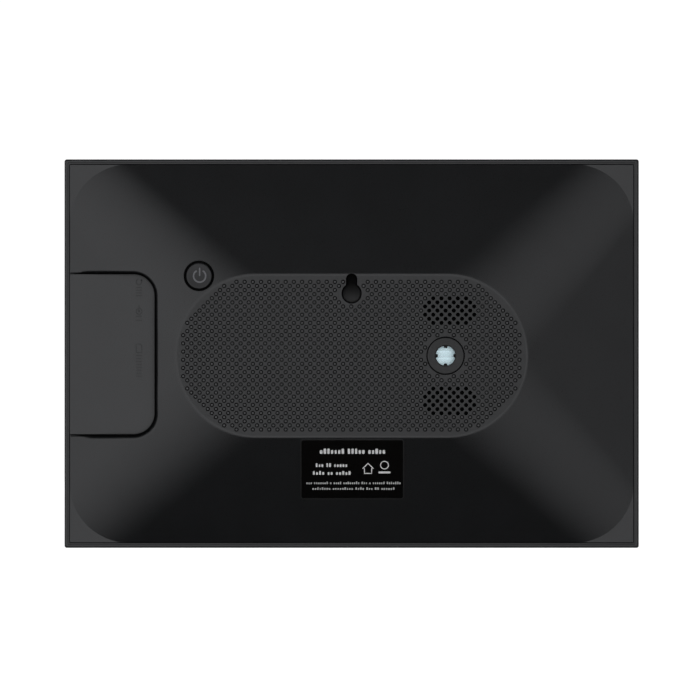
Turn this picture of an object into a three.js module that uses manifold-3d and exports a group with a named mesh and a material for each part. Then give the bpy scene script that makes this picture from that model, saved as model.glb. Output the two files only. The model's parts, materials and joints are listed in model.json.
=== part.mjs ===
// Digital photo frame: a 10.1 inch touch screen in a shallow plastic casing with a domed back.
// Millimetres. The screen faces -Y, the back faces +Y, +Z is up, and the frame stands on its
// bottom edge with the origin under the middle of its box. Left and right are the viewer's.

import * as THREE from 'three';
import { mergeVertices } from 'three/addons/utils/BufferGeometryUtils.js';
import Module from 'manifold-3d';

const wasm = await Module();
wasm.setup();

// ---------------------------------------------------------------- driving dimensions

const WIDTH = 255;
const HEIGHT = 172.5;
const MID_Z = HEIGHT / 2;
const FRONT_Y = -12;
const BACK_Y = 12;

// Front frame: a thin rim wall with a ledge inside it that carries the glass and the display.
const RIM_WALL = 1.6;
const RIM_FRONT_Y = -11.9;
const EDGE_Y = -1;
const LEDGE_FRONT_Y = -10.5;
const LEDGE_BACK_Y = -9;
const LEDGE_OPENING = { width: 221, height: 140 };
const RIM_LIP = { inset: 2.1, frontY: -2.4, backY: -1.55 };

// Glass and display module, 10.1 inch with 16:10 sides.
const GLASS_GAP = 0.2;
const GLASS_THICK = 1.2;
const MODULE = { width: 229.5, height: 149.1, wall: 0.4, frontY: -8.7, backY: -5.2 };
const CELL_THICK = 1.1;

// Rear cover: outline, wall, and the dome from its edge up to the round-ended plateau.
const COVER_INSET = 2.2;
const COVER_WIDTH = WIDTH - 2 * COVER_INSET;
const COVER_HEIGHT = HEIGHT - 2 * COVER_INSET;
const COVER_WALL = 2;
const SKIRT_WALL = 1.5;
const SKIRT_FRONT_Y = -7;
const DOME_CORNER_R = 26.7;
const PLATEAU_Y = 11.75;
const PLATEAU = { x: 0, z: 85.3, halfX: 78.15, r: 36.3 };
const INNER_FACE_Y = PLATEAU_Y - COVER_WALL;
const PAD_BORDER = 1.2;
const PAD_CLEAR = { speakerHalfX: 13.5, speakerR: 7.5, socket: 2.2 };
const PAD_CLEAR_KEYHOLE = { width: 14, height: 20, r: 6, dz: 3.4 };

// Connector recess, cut into the dome from the right-hand edge.
const RECESS = { wallX: 87.4, bottomZ: 50.5, topZ: 121.45, r: 9.5 };
const RECESS_INNER_X = RECESS.wallX - COVER_WALL;

// Features of the back.
const SPEAKER_X = -43.4;
const SPEAKER_ZS = [105.3, 65.3];
const GRILLE_ROWS = [5, 6, 7, 6, 7, 6, 5];
const GRILLE_PITCH = 3.63;
const GRILLE_HOLE_R = 0.95;
const SOCKET = { x: -41.6, z: 85.3, r: 8.1, gap: 0.35, holeR: 4.35, lipThick: 2.2, boreR: 6.3, frontY: 2 };
const SOCKET_FLANGE = { r: 9.4, frontY: 8.4, backY: 9.4 };
const SOCKET_TAB = { tipR: 3.4, tipHalf: 0.45, rootR: 4.75, rootHalf: 0.8, depth: 0.8 };
const KEYHOLE = { x: 0, z: 112.9, r: 4.33, slotR: 2.35, slotTopZ: 121.6 };
const KEYHOLE_POCKET = { dz: 2.7, width: 14, height: 19, wall: 1.2, frontY: 4.5 };
const BUTTON = { x: 67.6, z: 120.7, r: 5.65, holeR: 6.7, proud: 0.35 };
const BUTTON_FLANGE = { r: 8, frontY: 4.9, backY: 5.9 };
const BUTTON_COLLAR = { r: 9, frontY: 6.2 };
const SWITCH = { half: 3.1, topY: 2.5, wellR: 1.9, plungerR: 1.7, plungerTopY: 4, stemR: 1.8 };
const LABEL = { x: -0.25, z: 35.05, width: 45.9, height: 26.6, thick: 0.15, lift: 0.05 };

// Ports, on the wall of the recess that faces right.
const PORT_Z = { reset: 115.6, power: 102.7, card: 83 };
const PORT_GAP = 0.3;
const JACK = { y: 3.2, holeR: 3.3, halfWidth: 4.5, backY: 7, length: 12.4 };
const JACK_BORE = { r: 2.95, depth: 9, pinR: 0.85 };
const CARD = { y: 0.15, slotWidth: 11.8, slotThick: 1.7, wall: 1.2, length: 15.6, travel: 1 };
const CARD_SLIDER = { length: 3, thick: 1.2, reach: 2.5 };
const RESET = { y: 1.4, holeR: 1, plungerR: 0.9, boreR: 1.1, half: 3, backY: 3, length: 5.7, standoff: 2 };

// Main board.
const BOARD = { x0: 8, x1: 84.6, z0: 66, z1: 127.5, frontY: -2.6, backY: -1 };
const BOARD_SCREWS = [[12, 70], [12, 123.5], [52, 70], [79.5, 123.4]];

// Leads and ribbons inside the casing.
const SPEAKER_LEAD_Z = 95;
const RIBBON_END_Z = 68;
const DISPLAY_RIBBON = { x0: 28, x1: 46, endZ: 15 };
const TOUCH_RIBBON = { x0: 16, x1: 23, endZ: 7.8 };
const AERIAL = { x0: 40, x1: 66, z: 164.7, halfWidth: 2.8, thick: 0.8 };

// Speakers, lying under the two grilles.
const SPEAKER = { halfX: 17, r: 8.5, wall: 1.4, floor: 1.2, frontY: 4.5, earX: 19.7 };
const CONE = { gap: 0.3, frontY: 8, backY: 8.4, capR: 4.5, capHeight: 0.9 };
const MAGNET = { r: 6.6, frontY: 1.2, poleR: 4.6, poleFrontY: 3.5, poleBackY: 6.9, windowR: 5 };

// Fasteners and the bosses they go into.
const BOSS_R = 2.5;
const PILOT_R = 1.1;
const CLEAR_R = 1.25;
const SHANK_R = 1;
const HEAD_R = 1.9;
const HEAD_THICK = 1.3;
const EAR = { frontY: 5, backY: 6.5, r: 2.8 };
const SOCKET_EAR_X = 12.4;
const EAR_SCREW_LENGTH = 4.6;

// ---------------------------------------------------------------- finishes

const FINISH = {
  coverPlastic: [0x25262a, 0.42, 0],
  framePlastic: [0x1b1c1f, 0.4, 0],
  socketPlastic: [0x3a3b3e, 0.45, 0],
  darkPlastic: [0x141416, 0.5, 0],
  glass: [0x0a0b0d, 0.05, 0],
  lightGuide: [0xe6e8ea, 0.4, 0],
  tape: [0x18181a, 0.9, 0],
  sheetMetal: [0xc9ced1, 0.32, 1],
  steel: [0xb9bcc0, 0.35, 1],
  board: [0x12452c, 0.45, 0],
  chip: [0x1c1c1e, 0.55, 0],
  amber: [0xb0702a, 0.5, 0],
  brass: [0xc8a860, 0.3, 1],
  label: [0x0b0b0c, 0.25, 0],
};

function meshOf(name, geometry, finish) {
  const [color, roughness, metalness] = FINISH[finish];
  const material = new THREE.MeshStandardMaterial({ color, roughness, metalness });
  const mesh = new THREE.Mesh(geometry, material);
  mesh.name = name;
  return mesh;
}

// ---------------------------------------------------------------- outlines in the X-Z plane

function arc(cx, cz, r, from, to, steps) {
  const points = [];
  for (let step = 0; step <= steps; step += 1) {
    const angle = from + ((to - from) * step) / steps;
    points.push(new THREE.Vector2(cx + r * Math.cos(angle), cz + r * Math.sin(angle)));
  }
  return points;
}

function circle(cx, cz, r, sides = 24) {
  return arc(cx, cz, r, 0, 2 * Math.PI * (1 - 1 / sides), sides - 1);
}

function roundedRect(cx, cz, width, height, r, steps = 3) {
  const points = [];
  for (let corner = 0; corner < 4; corner += 1) {
    const signX = corner === 0 || corner === 3 ? 1 : -1;
    const signZ = corner < 2 ? 1 : -1;
    const x = cx + signX * (width / 2 - r);
    const z = cz + signZ * (height / 2 - r);
    points.push(...arc(x, z, r, (corner * Math.PI) / 2, ((corner + 1) * Math.PI) / 2, steps));
  }
  return points;
}

function roundEnded(cx, cz, halfX, r, steps = 10) {
  const right = arc(cx + halfX - r, cz, r, -Math.PI / 2, Math.PI / 2, steps);
  const left = arc(cx - halfX + r, cz, r, Math.PI / 2, (3 * Math.PI) / 2, steps);
  return [...right, ...left];
}

// ---------------------------------------------------------------- solids

function plate(points, y0, y1, holes = []) {
  const shape = new THREE.Shape(points);
  holes.forEach((hole) => shape.holes.push(new THREE.Path(hole)));
  const geometry = new THREE.ExtrudeGeometry(shape, { depth: y1 - y0, bevelEnabled: false });
  geometry.rotateX(Math.PI / 2);
  geometry.translate(0, y1, 0);
  return geometry;
}

function block(x0, x1, y0, y1, z0, z1) {
  const geometry = new THREE.BoxGeometry(x1 - x0, y1 - y0, z1 - z0);
  geometry.translate((x0 + x1) / 2, (y0 + y1) / 2, (z0 + z1) / 2);
  return geometry;
}

function rodY(x, z, r, y0, y1, sides = 16) {
  const geometry = new THREE.CylinderGeometry(r, r, y1 - y0, sides);
  geometry.translate(x, (y0 + y1) / 2, z);
  return geometry;
}

function rodX(y, z, r, x0, x1, sides = 16) {
  const geometry = new THREE.CylinderGeometry(r, r, x1 - x0, sides);
  geometry.rotateZ(Math.PI / 2);
  geometry.translate((x0 + x1) / 2, y, z);
  return geometry;
}

// A ring of points that turns each corner through the same angles, so that two such rings
// joined point to point make the dome's developable skin.
function tangentRing(z, halfX, halfZ, r, y) {
  return roundedRect(0, z, 2 * halfX, 2 * halfZ, r, 8).map((p) => [p.x, y, p.y]);
}

function loft(lower, upper) {
  const count = lower.length;
  const index = [];
  for (let i = 0; i < count; i += 1) {
    const next = (i + 1) % count;
    index.push(i, count + next, next);
    index.push(i, count + i, count + next);
    index.push(0, i, next);
    index.push(count, count + next, count + i);
  }
  const geometry = new THREE.BufferGeometry();
  geometry.setAttribute('position', new THREE.Float32BufferAttribute([...lower, ...upper].flat(), 3));
  geometry.setIndex(index);
  return geometry;
}

function solid(geometry) {
  geometry.deleteAttribute('normal');
  geometry.deleteAttribute('uv');
  const merged = mergeVertices(geometry, 1e-4);
  const corners = merged.index.array;
  const triangles = [];
  for (let i = 0; i < corners.length; i += 3) {
    const [a, b, c] = [corners[i], corners[i + 1], corners[i + 2]];
    if (a !== b && b !== c && a !== c) triangles.push(a, b, c);
  }
  const mesh = new wasm.Mesh({
    numProp: 3,
    vertProperties: new Float32Array(merged.attributes.position.array),
    triVerts: new Uint32Array(triangles),
  });
  return new wasm.Manifold(mesh);
}

function union(...geometries) {
  return geometries.map(solid).reduce((whole, piece) => whole.add(piece));
}

function cut(body, ...geometries) {
  return geometries.map(solid).reduce((rest, tool) => rest.subtract(tool), body);
}

function geometryOf(manifold) {
  const mesh = manifold.getMesh();
  const geometry = new THREE.BufferGeometry();
  geometry.setAttribute('position', new THREE.BufferAttribute(mesh.vertProperties, 3));
  geometry.setIndex(new THREE.BufferAttribute(mesh.triVerts, 1));
  geometry.computeVertexNormals();
  return geometry;
}

// A pan-head screw along +Y: its head's underside is at seatY and its head is in front of it.
function screw(name, x, z, seatY, length) {
  const profile = [
    [0, -HEAD_THICK],
    [0.7 * HEAD_R, -HEAD_THICK],
    [HEAD_R, -0.6 * HEAD_THICK],
    [HEAD_R, 0],
    [SHANK_R, 0],
    [SHANK_R, length],
    [0, length + 0.4],
  ];
  const points = profile.map(([r, y]) => new THREE.Vector2(r, y));
  const mesh = meshOf(name, new THREE.LatheGeometry(points, 10), 'steel');
  mesh.position.set(x, seatY, z);
  return mesh;
}

// A tube along a smooth curve through the points, for thin leads inside the casing.
function lead(name, points, r, finish) {
  const path = new THREE.CatmullRomCurve3(points.map((p) => new THREE.Vector3(...p)));
  const section = new THREE.Shape(arc(0, 0, r, 0, 2 * Math.PI * (7 / 8), 7));
  const geometry = new THREE.ExtrudeGeometry(section, {
    steps: 16,
    bevelEnabled: false,
    extrudePath: path,
  });
  return meshOf(name, geometry, finish);
}

// A flat ribbon of constant width in X whose side view runs through [y, z] points.
function ribbon(name, x0, x1, points, thick) {
  const near = points.map(([y, z]) => new THREE.Vector2(z, y - thick / 2));
  const far = points.map(([y, z]) => new THREE.Vector2(z, y + thick / 2)).reverse();
  const geometry = new THREE.ExtrudeGeometry(new THREE.Shape([...near, ...far]), {
    depth: x1 - x0,
    bevelEnabled: false,
  });
  // Shape x is Z, shape y is Y, and the depth runs along -X.
  geometry.rotateY(-Math.PI / 2);
  geometry.translate(x1, 0, 0);
  return meshOf(name, geometry, 'amber');
}

// ---------------------------------------------------------------- front frame and screen

const CLIP_XS = [-80, 0, 80];
const CLIP_DZS = [-41, 41];
const SNAP = { halfLength: 6, reach: 0.75, y0: -6.2, y1: -4.6 };
const SNAP_WINDOW = { halfLength: 6.5, reach: 1.1, y0: -6.6, y1: -4.2 };
const SNAP_ROOT = 0.5;

// Catch places round the casing: one box per snap, reaching out from the cover's skirt.
function snaps({ halfLength, reach, y0, y1 }) {
  const boxes = [];
  for (const side of [-1, 1]) {
    const skirtZ = MID_Z + (side * COVER_HEIGHT) / 2;
    const tipZ = skirtZ + side * reach;
    for (const x of CLIP_XS) {
      const z = [skirtZ - side * SNAP_ROOT, tipZ].sort((a, b) => a - b);
      boxes.push(block(x - halfLength, x + halfLength, y0, y1, z[0], z[1]));
    }
    const skirtX = (side * COVER_WIDTH) / 2;
    const tipX = skirtX + side * reach;
    for (const dz of CLIP_DZS) {
      const x = [skirtX - side * SNAP_ROOT, tipX].sort((a, b) => a - b);
      const z = MID_Z + dz;
      boxes.push(block(x[0], x[1], y0, y1, z - halfLength, z + halfLength));
    }
  }
  return boxes;
}

const BRACKET = { x: 119.5, dz: 46.25, reach: 13, width: 8, thick: 0.8, screwLength: 3 };
const TAIL_SLOT = { x0: 14, x1: 25, z0: 5.5, z1: 8.5 };
const DRIVER_BOARD = { halfX: 100, thick: 0.8, z0: 13, z1: 22 };

function bracketPlaces() {
  const places = [];
  for (const signX of [-1, 1]) {
    for (const signZ of [-1, 1]) {
      places.push({ signX, x: signX * BRACKET.x, z: MID_Z + signZ * BRACKET.dz });
    }
  }
  return places;
}

// A rounded outline that stays the same distance inside the frame's outline.
function insetOutline(inset, r) {
  return roundedRect(0, MID_Z, WIDTH - 2 * inset, HEIGHT - 2 * inset, r);
}

function tailSlot(y0, y1) {
  return block(TAIL_SLOT.x0, TAIL_SLOT.x1, y0, y1, TAIL_SLOT.z0, TAIL_SLOT.z1);
}

function frontFrame() {
  const opening = roundedRect(0, MID_Z, LEDGE_OPENING.width, LEDGE_OPENING.height, 1);
  const rimMiddle = RIM_WALL / 2;
  const bosses = bracketPlaces();
  const body = union(
    plate(insetOutline(0, 1), RIM_FRONT_Y, EDGE_Y, [insetOutline(RIM_WALL, 0.6)]),
    plate(insetOutline(rimMiddle, 1), LEDGE_FRONT_Y, LEDGE_BACK_Y, [opening]),
    plate(insetOutline(rimMiddle, 1), RIM_LIP.frontY, RIM_LIP.backY, [insetOutline(RIM_LIP.inset, 0.6)]),
    ...bosses.map(({ x, z }) => rodY(x, z, BOSS_R, LEDGE_BACK_Y - 1, MODULE.backY)),
  );
  const finished = cut(
    body,
    ...snaps(SNAP_WINDOW),
    ...bosses.map(({ x, z }) => rodY(x, z, PILOT_R, LEDGE_BACK_Y, MODULE.backY + 1, 10)),
    tailSlot(LEDGE_FRONT_Y - 1, LEDGE_BACK_Y + 1),
  );
  return meshOf('front_frame', geometryOf(finished), 'framePlastic');
}

// The bright metal tray behind the display, open towards the screen.
function displayTray(floorY) {
  const { width, height, wall, frontY, backY } = MODULE;
  const outside = roundedRect(0, MID_Z, width, height, 1);
  const inside = roundedRect(0, MID_Z, width - 2 * wall, height - 2 * wall, 0.6);
  return cut(union(plate(outside, frontY, backY)), plate(inside, frontY - 1, floorY));
}

function screenStack() {
  const { width, height, wall, frontY, backY } = MODULE;
  const glassBackY = FRONT_Y + GLASS_THICK;
  const glass = plate(insetOutline(RIM_WALL + GLASS_GAP, 0.8), FRONT_Y, glassBackY);
  const tapeInside = roundedRect(0, MID_Z, LEDGE_OPENING.width + 1, LEDGE_OPENING.height + 1, 1);
  const tape = cut(
    union(plate(insetOutline(COVER_INSET, 1), glassBackY, LEDGE_FRONT_Y, [tapeInside])),
    tailSlot(glassBackY - 1, LEDGE_FRONT_Y + 1),
  );
  const panelInset = 2 * wall + 0.4;
  const panel = roundedRect(0, MID_Z, width - panelInset, height - panelInset, 0.5);
  const gasketInside = roundedRect(0, MID_Z, LEDGE_OPENING.width, LEDGE_OPENING.height, 1);
  const cellBackY = frontY + CELL_THICK;
  const trayFloorY = backY - wall;
  const { halfX, thick, z0, z1 } = DRIVER_BOARD;
  return [
    meshOf('touch_glass', glass, 'glass'),
    meshOf('glass_tape', geometryOf(tape), 'tape'),
    meshOf('lcd_gasket', plate(panel, LEDGE_BACK_Y, frontY, [gasketInside]), 'tape'),
    meshOf('lcd_cell', plate(panel, frontY, cellBackY), 'glass'),
    meshOf('lcd_backlight', plate(panel, cellBackY, trayFloorY), 'lightGuide'),
    meshOf('lcd_back_plate', geometryOf(displayTray(trayFloorY)), 'sheetMetal'),
    meshOf('lcd_driver_board', block(-halfX, halfX, backY, backY + thick, z0, z1), 'board'),
  ];
}

function displayBrackets() {
  const { reach, width, thick, screwLength } = BRACKET;
  const backY = MODULE.backY + thick;
  return bracketPlaces().flatMap(({ signX, x, z }, i) => {
    const outline = roundedRect(x - signX * (reach / 2 - BOSS_R), z, reach, width, 1.5, 2);
    const sheet = plate(outline, MODULE.backY, backY, [circle(x, z, CLEAR_R, 10)]);
    const fastener = screw(`lcd_screw_${i + 1}`, x, z, backY, screwLength);
    // Driven in from the back, so the head faces +Y.
    fastener.rotation.x = Math.PI;
    return [meshOf(`lcd_bracket_${i + 1}`, sheet, 'sheetMetal'), fastener];
  });
}

// ---------------------------------------------------------------- rear cover

// Solid between a level of the dome's foot and a level of its plateau, both moved inwards.
function dome(inset, lowerY, upperY, upperInset) {
  const halfX = COVER_WIDTH / 2 - inset;
  const halfZ = COVER_HEIGHT / 2 - inset;
  const topR = PLATEAU.r - upperInset;
  const lower = tangentRing(MID_Z, halfX, halfZ, DOME_CORNER_R - inset, lowerY);
  const upper = tangentRing(PLATEAU.z, PLATEAU.halfX - upperInset, topR, topR, upperY);
  return loft(lower, upper);
}

// The space of the recess, and with a growth that of the wall round it.
function recessPrism(grow, y0, y1) {
  const width = WIDTH - RECESS.wallX + grow;
  const height = RECESS.topZ - RECESS.bottomZ + 2 * grow;
  const x = WIDTH - width / 2;
  const z = (RECESS.bottomZ + RECESS.topZ) / 2;
  return plate(roundedRect(x, z, width, height, RECESS.r + grow, 6), y0, y1);
}

function keyholeOutline() {
  const slotZ = KEYHOLE.slotTopZ - KEYHOLE.slotR;
  const neck = Math.asin(KEYHOLE.slotR / KEYHOLE.r);
  const big = arc(KEYHOLE.x, KEYHOLE.z, KEYHOLE.r, Math.PI / 2 + neck, (5 * Math.PI) / 2 - neck, 16);
  return [...big, ...arc(KEYHOLE.x, slotZ, KEYHOLE.slotR, 0, Math.PI, 6)];
}

// Opening for the memory card, narrower by the given amount on every side.
function cardSlot(x0, x1, shrink) {
  const halfY = CARD.slotThick / 2 - shrink;
  const halfZ = CARD.slotWidth / 2 - shrink;
  const z = PORT_Z.card;
  return block(x0, x1, CARD.y - halfY, CARD.y + halfY, z - halfZ, z + halfZ);
}

function grilleHoles(y0, y1) {
  const holes = [];
  for (const centreZ of SPEAKER_ZS) {
    GRILLE_ROWS.forEach((count, row) => {
      const z = centreZ + (row - (GRILLE_ROWS.length - 1) / 2) * (GRILLE_PITCH / 2);
      for (let i = 0; i < count; i += 1) {
        const x = SPEAKER_X + (i - (count - 1) / 2) * GRILLE_PITCH;
        holes.push(rodY(x, z, GRILLE_HOLE_R, y0, y1, 6));
      }
    });
  }
  return holes;
}

// Bosses that hang from the inside of the plateau for the speakers' and the socket's ears.
function earPlaces() {
  const sides = [-1, 1];
  return {
    speakers: SPEAKER_ZS.flatMap((z) => sides.map((side) => [SPEAKER_X + side * SPEAKER.earX, z])),
    socket: sides.map((side) => [SOCKET.x + side * SOCKET_EAR_X, SOCKET.z]),
  };
}

// The bump field between the plain border and the plain zones, as one pad through the bumps' tops.
function bumpPad() {
  const { speakerHalfX, speakerR, socket } = PAD_CLEAR;
  const [y0, y1] = [BACK_Y - 1, BACK_Y + 1];
  const field = roundEnded(PLATEAU.x, PLATEAU.z, PLATEAU.halfX - PAD_BORDER, PLATEAU.r - PAD_BORDER, 16);
  const { width, height, r, dz } = PAD_CLEAR_KEYHOLE;
  const keyholeZone = roundedRect(KEYHOLE.x, KEYHOLE.z + dz, width, height, r, 4);
  return cut(
    union(plate(field, INNER_FACE_Y + 1, BACK_Y)),
    ...SPEAKER_ZS.map((z) => plate(roundEnded(SPEAKER_X, z, speakerHalfX, speakerR, 8), y0, y1)),
    rodY(SOCKET.x, SOCKET.z, SOCKET.r + socket, y0, y1, 24),
    plate(keyholeZone, y0, y1),
  );
}

// The closed shell: skirt and dome, hollow but for the wall and the floor of the recess.
function coverShell() {
  const floorY = EDGE_Y - COVER_WALL;
  const skirtInside = insetOutline(COVER_INSET + SKIRT_WALL, 0.5);
  const outer = union(
    plate(insetOutline(COVER_INSET, 0.5), SKIRT_FRONT_Y, EDGE_Y),
    dome(0, EDGE_Y, PLATEAU_Y, 0),
  );
  const hollow = union(
    plate(skirtInside, SKIRT_FRONT_Y - 1, floorY),
    dome(COVER_WALL, floorY, INNER_FACE_Y, 0.3),
  );
  return outer.subtract(hollow.subtract(solid(recessPrism(COVER_WALL, floorY, BACK_Y + 1))));
}

function coverBosses() {
  const { speakers, socket } = earPlaces();
  const ears = [...speakers, ...socket];
  const posts = [
    ...ears.map(([x, z]) => rodY(x, z, BOSS_R, EAR.backY, INNER_FACE_Y + 1, 12)),
    ...BOARD_SCREWS.map(([x, z]) => rodY(x, z, BOSS_R, BOARD.backY, BACK_Y, 12)),
    rodY(BUTTON.x, BUTTON.z, BUTTON_COLLAR.r, BUTTON_COLLAR.frontY, BACK_Y, 24),
  ];
  const pilots = [
    ...ears.map(([x, z]) => rodY(x, z, PILOT_R, EAR.backY - 1, EAR.backY + 4, 10)),
    ...BOARD_SCREWS.map(([x, z]) => rodY(x, z, PILOT_R, BOARD.backY - 1, BOARD.backY + 5.5, 10)),
  ];
  return { posts, pilots };
}

function rearCover() {
  const { posts, pilots } = coverBosses();
  const inside = solid(dome(0, EDGE_Y, PLATEAU_Y, 0));
  const solidBody = coverShell().add(bumpPad()).add(union(...posts).intersect(inside));
  const wallX0 = RECESS_INNER_X - 1;
  const wallX1 = RECESS.wallX + 1;
  const opened = cut(
    solidBody,
    recessPrism(0, EDGE_Y, BACK_Y + 1),
    rodX(JACK.y, PORT_Z.power, JACK.holeR, wallX0, wallX1, 16),
    rodX(RESET.y, PORT_Z.reset, RESET.holeR, wallX0, wallX1, 10),
    cardSlot(wallX0, wallX1, 0),
    plate(keyholeOutline(), INNER_FACE_Y - 2, BACK_Y + 1),
    rodY(SOCKET.x, SOCKET.z, SOCKET.r + SOCKET.gap, INNER_FACE_Y - 1, BACK_Y + 1, 32),
    rodY(BUTTON.x, BUTTON.z, BUTTON.holeR, BUTTON_FLANGE.frontY, BACK_Y + 1, 24),
    ...grilleHoles(INNER_FACE_Y - 1, BACK_Y + 1),
    ...pilots,
  );
  return meshOf('rear_cover', geometryOf(opened.add(union(...snaps(SNAP)))), 'coverPlastic');
}

// ---------------------------------------------------------------- pieces set into the back

function earPlate(x, z, earX) {
  return plate(roundEnded(x, z, earX + EAR.r, EAR.r, 6), EAR.frontY, EAR.backY);
}

// Four tapered tabs just below the socket's face that key into the stand's plug.
function socketTabs() {
  const { tipR, tipHalf, rootR, rootHalf, depth } = SOCKET_TAB;
  const corners = [[tipR, -tipHalf], [rootR, -rootHalf], [rootR, rootHalf], [tipR, tipHalf]];
  return [0, 1, 2, 3].map((quarter) => {
    const angle = (quarter * Math.PI) / 2;
    const outline = corners.map(([along, aside]) => {
      const turned = new THREE.Vector2(along, aside).rotateAround(new THREE.Vector2(), angle);
      return turned.add(new THREE.Vector2(SOCKET.x, SOCKET.z));
    });
    return plate(outline, PLATEAU_Y - SOCKET.lipThick, PLATEAU_Y - depth);
  });
}

function standSocket() {
  const { x, z, r, holeR, boreR, lipThick, frontY } = SOCKET;
  const { speakers, socket } = earPlaces();
  const ring = cut(
    union(
      rodY(x, z, r, frontY, PLATEAU_Y, 32),
      rodY(x, z, SOCKET_FLANGE.r, SOCKET_FLANGE.frontY, SOCKET_FLANGE.backY, 32),
      earPlate(x, z, SOCKET_EAR_X),
    ),
    rodY(x, z, boreR, frontY - 1, PLATEAU_Y - lipThick, 24),
    rodY(x, z, holeR, frontY - 1, BACK_Y + 1, 24),
    ...socket.map(([earX, earZ]) => rodY(earX, earZ, CLEAR_R, EAR.frontY - 1, EAR.backY + 1, 10)),
  );
  const screws = (places, name) => places.map(([earX, earZ], i) => (
    screw(`${name}_${i + 1}`, earX, earZ, EAR.frontY, EAR_SCREW_LENGTH)
  ));
  return [
    meshOf('stand_socket', geometryOf(ring.add(union(...socketTabs()))), 'socketPlastic'),
    ...screws(socket, 'socket_screw'),
    ...screws(speakers, 'speaker_screw'),
  ];
}

function keyholePocket() {
  const { dz, width, height, wall, frontY } = KEYHOLE_POCKET;
  const z = KEYHOLE.z + dz;
  const inside = roundedRect(KEYHOLE.x, z, width - 2 * wall, height - 2 * wall, 2, 4);
  const cup = cut(
    union(plate(roundedRect(KEYHOLE.x, z, width, height, 3, 4), frontY, BACK_Y)),
    plate(inside, frontY + wall, BACK_Y + 1),
  );
  const under = dome(COVER_WALL, EDGE_Y - COVER_WALL - 0.3, INNER_FACE_Y - 0.3, 0.3);
  return meshOf('keyhole_pocket', geometryOf(cup.intersect(solid(under))), 'darkPlastic');
}

function powerButton() {
  const { x, z, r, proud } = BUTTON;
  const { half, topY, wellR, plungerR, plungerTopY, stemR } = SWITCH;
  const { frontY, backY } = BUTTON_FLANGE;
  const skin = dome(0, EDGE_Y + proud, PLATEAU_Y + proud, 0);
  const cap = solid(rodY(x, z, r, frontY, BACK_Y + 1, 32)).intersect(solid(skin));
  const body = cap.add(union(
    rodY(x, z, BUTTON_FLANGE.r, frontY, backY, 24),
    rodY(x, z, stemR, plungerTopY + 0.1, frontY + 0.5, 16),
  ));
  const switchBody = cut(
    union(block(x - half, x + half, BOARD.backY, topY, z - half, z + half)),
    rodY(x, z, wellR, topY - 1.1, topY + 1, 16),
  );
  return [
    meshOf('power_button', geometryOf(body), 'coverPlastic'),
    meshOf('power_switch_body', geometryOf(switchBody), 'chip'),
    meshOf('power_switch_plunger', rodY(x, z, plungerR, topY - 0.6, plungerTopY, 16), 'darkPlastic'),
  ];
}

function ratingLabel() {
  const slopeRun = PLATEAU.z - PLATEAU.r - COVER_INSET;
  const slopeRise = PLATEAU_Y - EDGE_Y;
  const tilt = Math.atan2(slopeRise, slopeRun);
  const outline = roundedRect(0, 0, LABEL.width, LABEL.height / Math.cos(tilt), 1.2);
  const sheet = plate(outline, LABEL.lift, LABEL.lift + LABEL.thick);
  const mesh = meshOf('rating_label', sheet, 'label');
  mesh.rotation.x = -tilt;
  mesh.position.set(LABEL.x, EDGE_Y + (LABEL.z - COVER_INSET) * Math.tan(tilt), LABEL.z);
  return mesh;
}

// ---------------------------------------------------------------- main board and its parts

function mainBoard() {
  const width = BOARD.x1 - BOARD.x0;
  const height = BOARD.z1 - BOARD.z0;
  const outline = roundedRect(BOARD.x0 + width / 2, BOARD.z0 + height / 2, width, height, 1.5);
  const holes = BOARD_SCREWS.map(([x, z]) => circle(x, z, CLEAR_R, 10));
  return [
    meshOf('main_board', plate(outline, BOARD.frontY, BOARD.backY, holes), 'board'),
    ...BOARD_SCREWS.map(([x, z], i) => screw(`board_screw_${i + 1}`, x, z, BOARD.frontY, 6)),
  ];
}

function chipOn(name, { x, z, width, height, thick, finish = 'chip' }) {
  const outline = roundedRect(x, z, width, height, 0.4, 2);
  return meshOf(name, plate(outline, BOARD.backY, BOARD.backY + thick), finish);
}

// A low connector on the board's screen side that takes a ribbon.
function ribbonConnector(name, x0, x1) {
  const sheet = block(x0, x1, BOARD.frontY - 1.2, BOARD.frontY, RIBBON_END_Z + 0.3, RIBBON_END_Z + 4.3);
  return meshOf(name, sheet, 'chip');
}

function boardComponents() {
  return [
    chipOn('processor', { x: 30, z: 92, width: 14, height: 14, thick: 1.2 }),
    chipOn('memory_chip', { x: 48, z: 88, width: 8, height: 12, thick: 1 }),
    chipOn('wifi_module', { x: 22, z: 111, width: 14, height: 12, thick: 2.2, finish: 'sheetMetal' }),
    chipOn('power_inductor', { x: 62, z: 106, width: 7, height: 7, thick: 3 }),
    chipOn('speaker_connector', {
      x: 11.5,
      z: SPEAKER_LEAD_Z,
      width: 5,
      height: 10,
      thick: 3,
      finish: 'lightGuide',
    }),
    ribbonConnector('display_connector', DISPLAY_RIBBON.x0 - 1, DISPLAY_RIBBON.x1 + 1),
    ribbonConnector('touch_connector', TOUCH_RIBBON.x0 - 0.5, TOUCH_RIBBON.x1 + 0.5),
  ];
}

function dcJack() {
  const { y, halfWidth, backY, length } = JACK;
  const z = PORT_Z.power;
  const mouthX = RECESS_INNER_X - PORT_GAP;
  const boreEndX = mouthX - JACK_BORE.depth;
  const body = cut(
    union(block(mouthX - length, mouthX, BOARD.backY, backY, z - halfWidth, z + halfWidth)),
    rodX(y, z, JACK_BORE.r, boreEndX, mouthX + 1, 16),
  );
  return [
    meshOf('dc_jack', geometryOf(body), 'darkPlastic'),
    meshOf('dc_jack_pin', rodX(y, z, JACK_BORE.pinR, boreEndX, mouthX - 0.8, 10), 'brass'),
  ];
}

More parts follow.
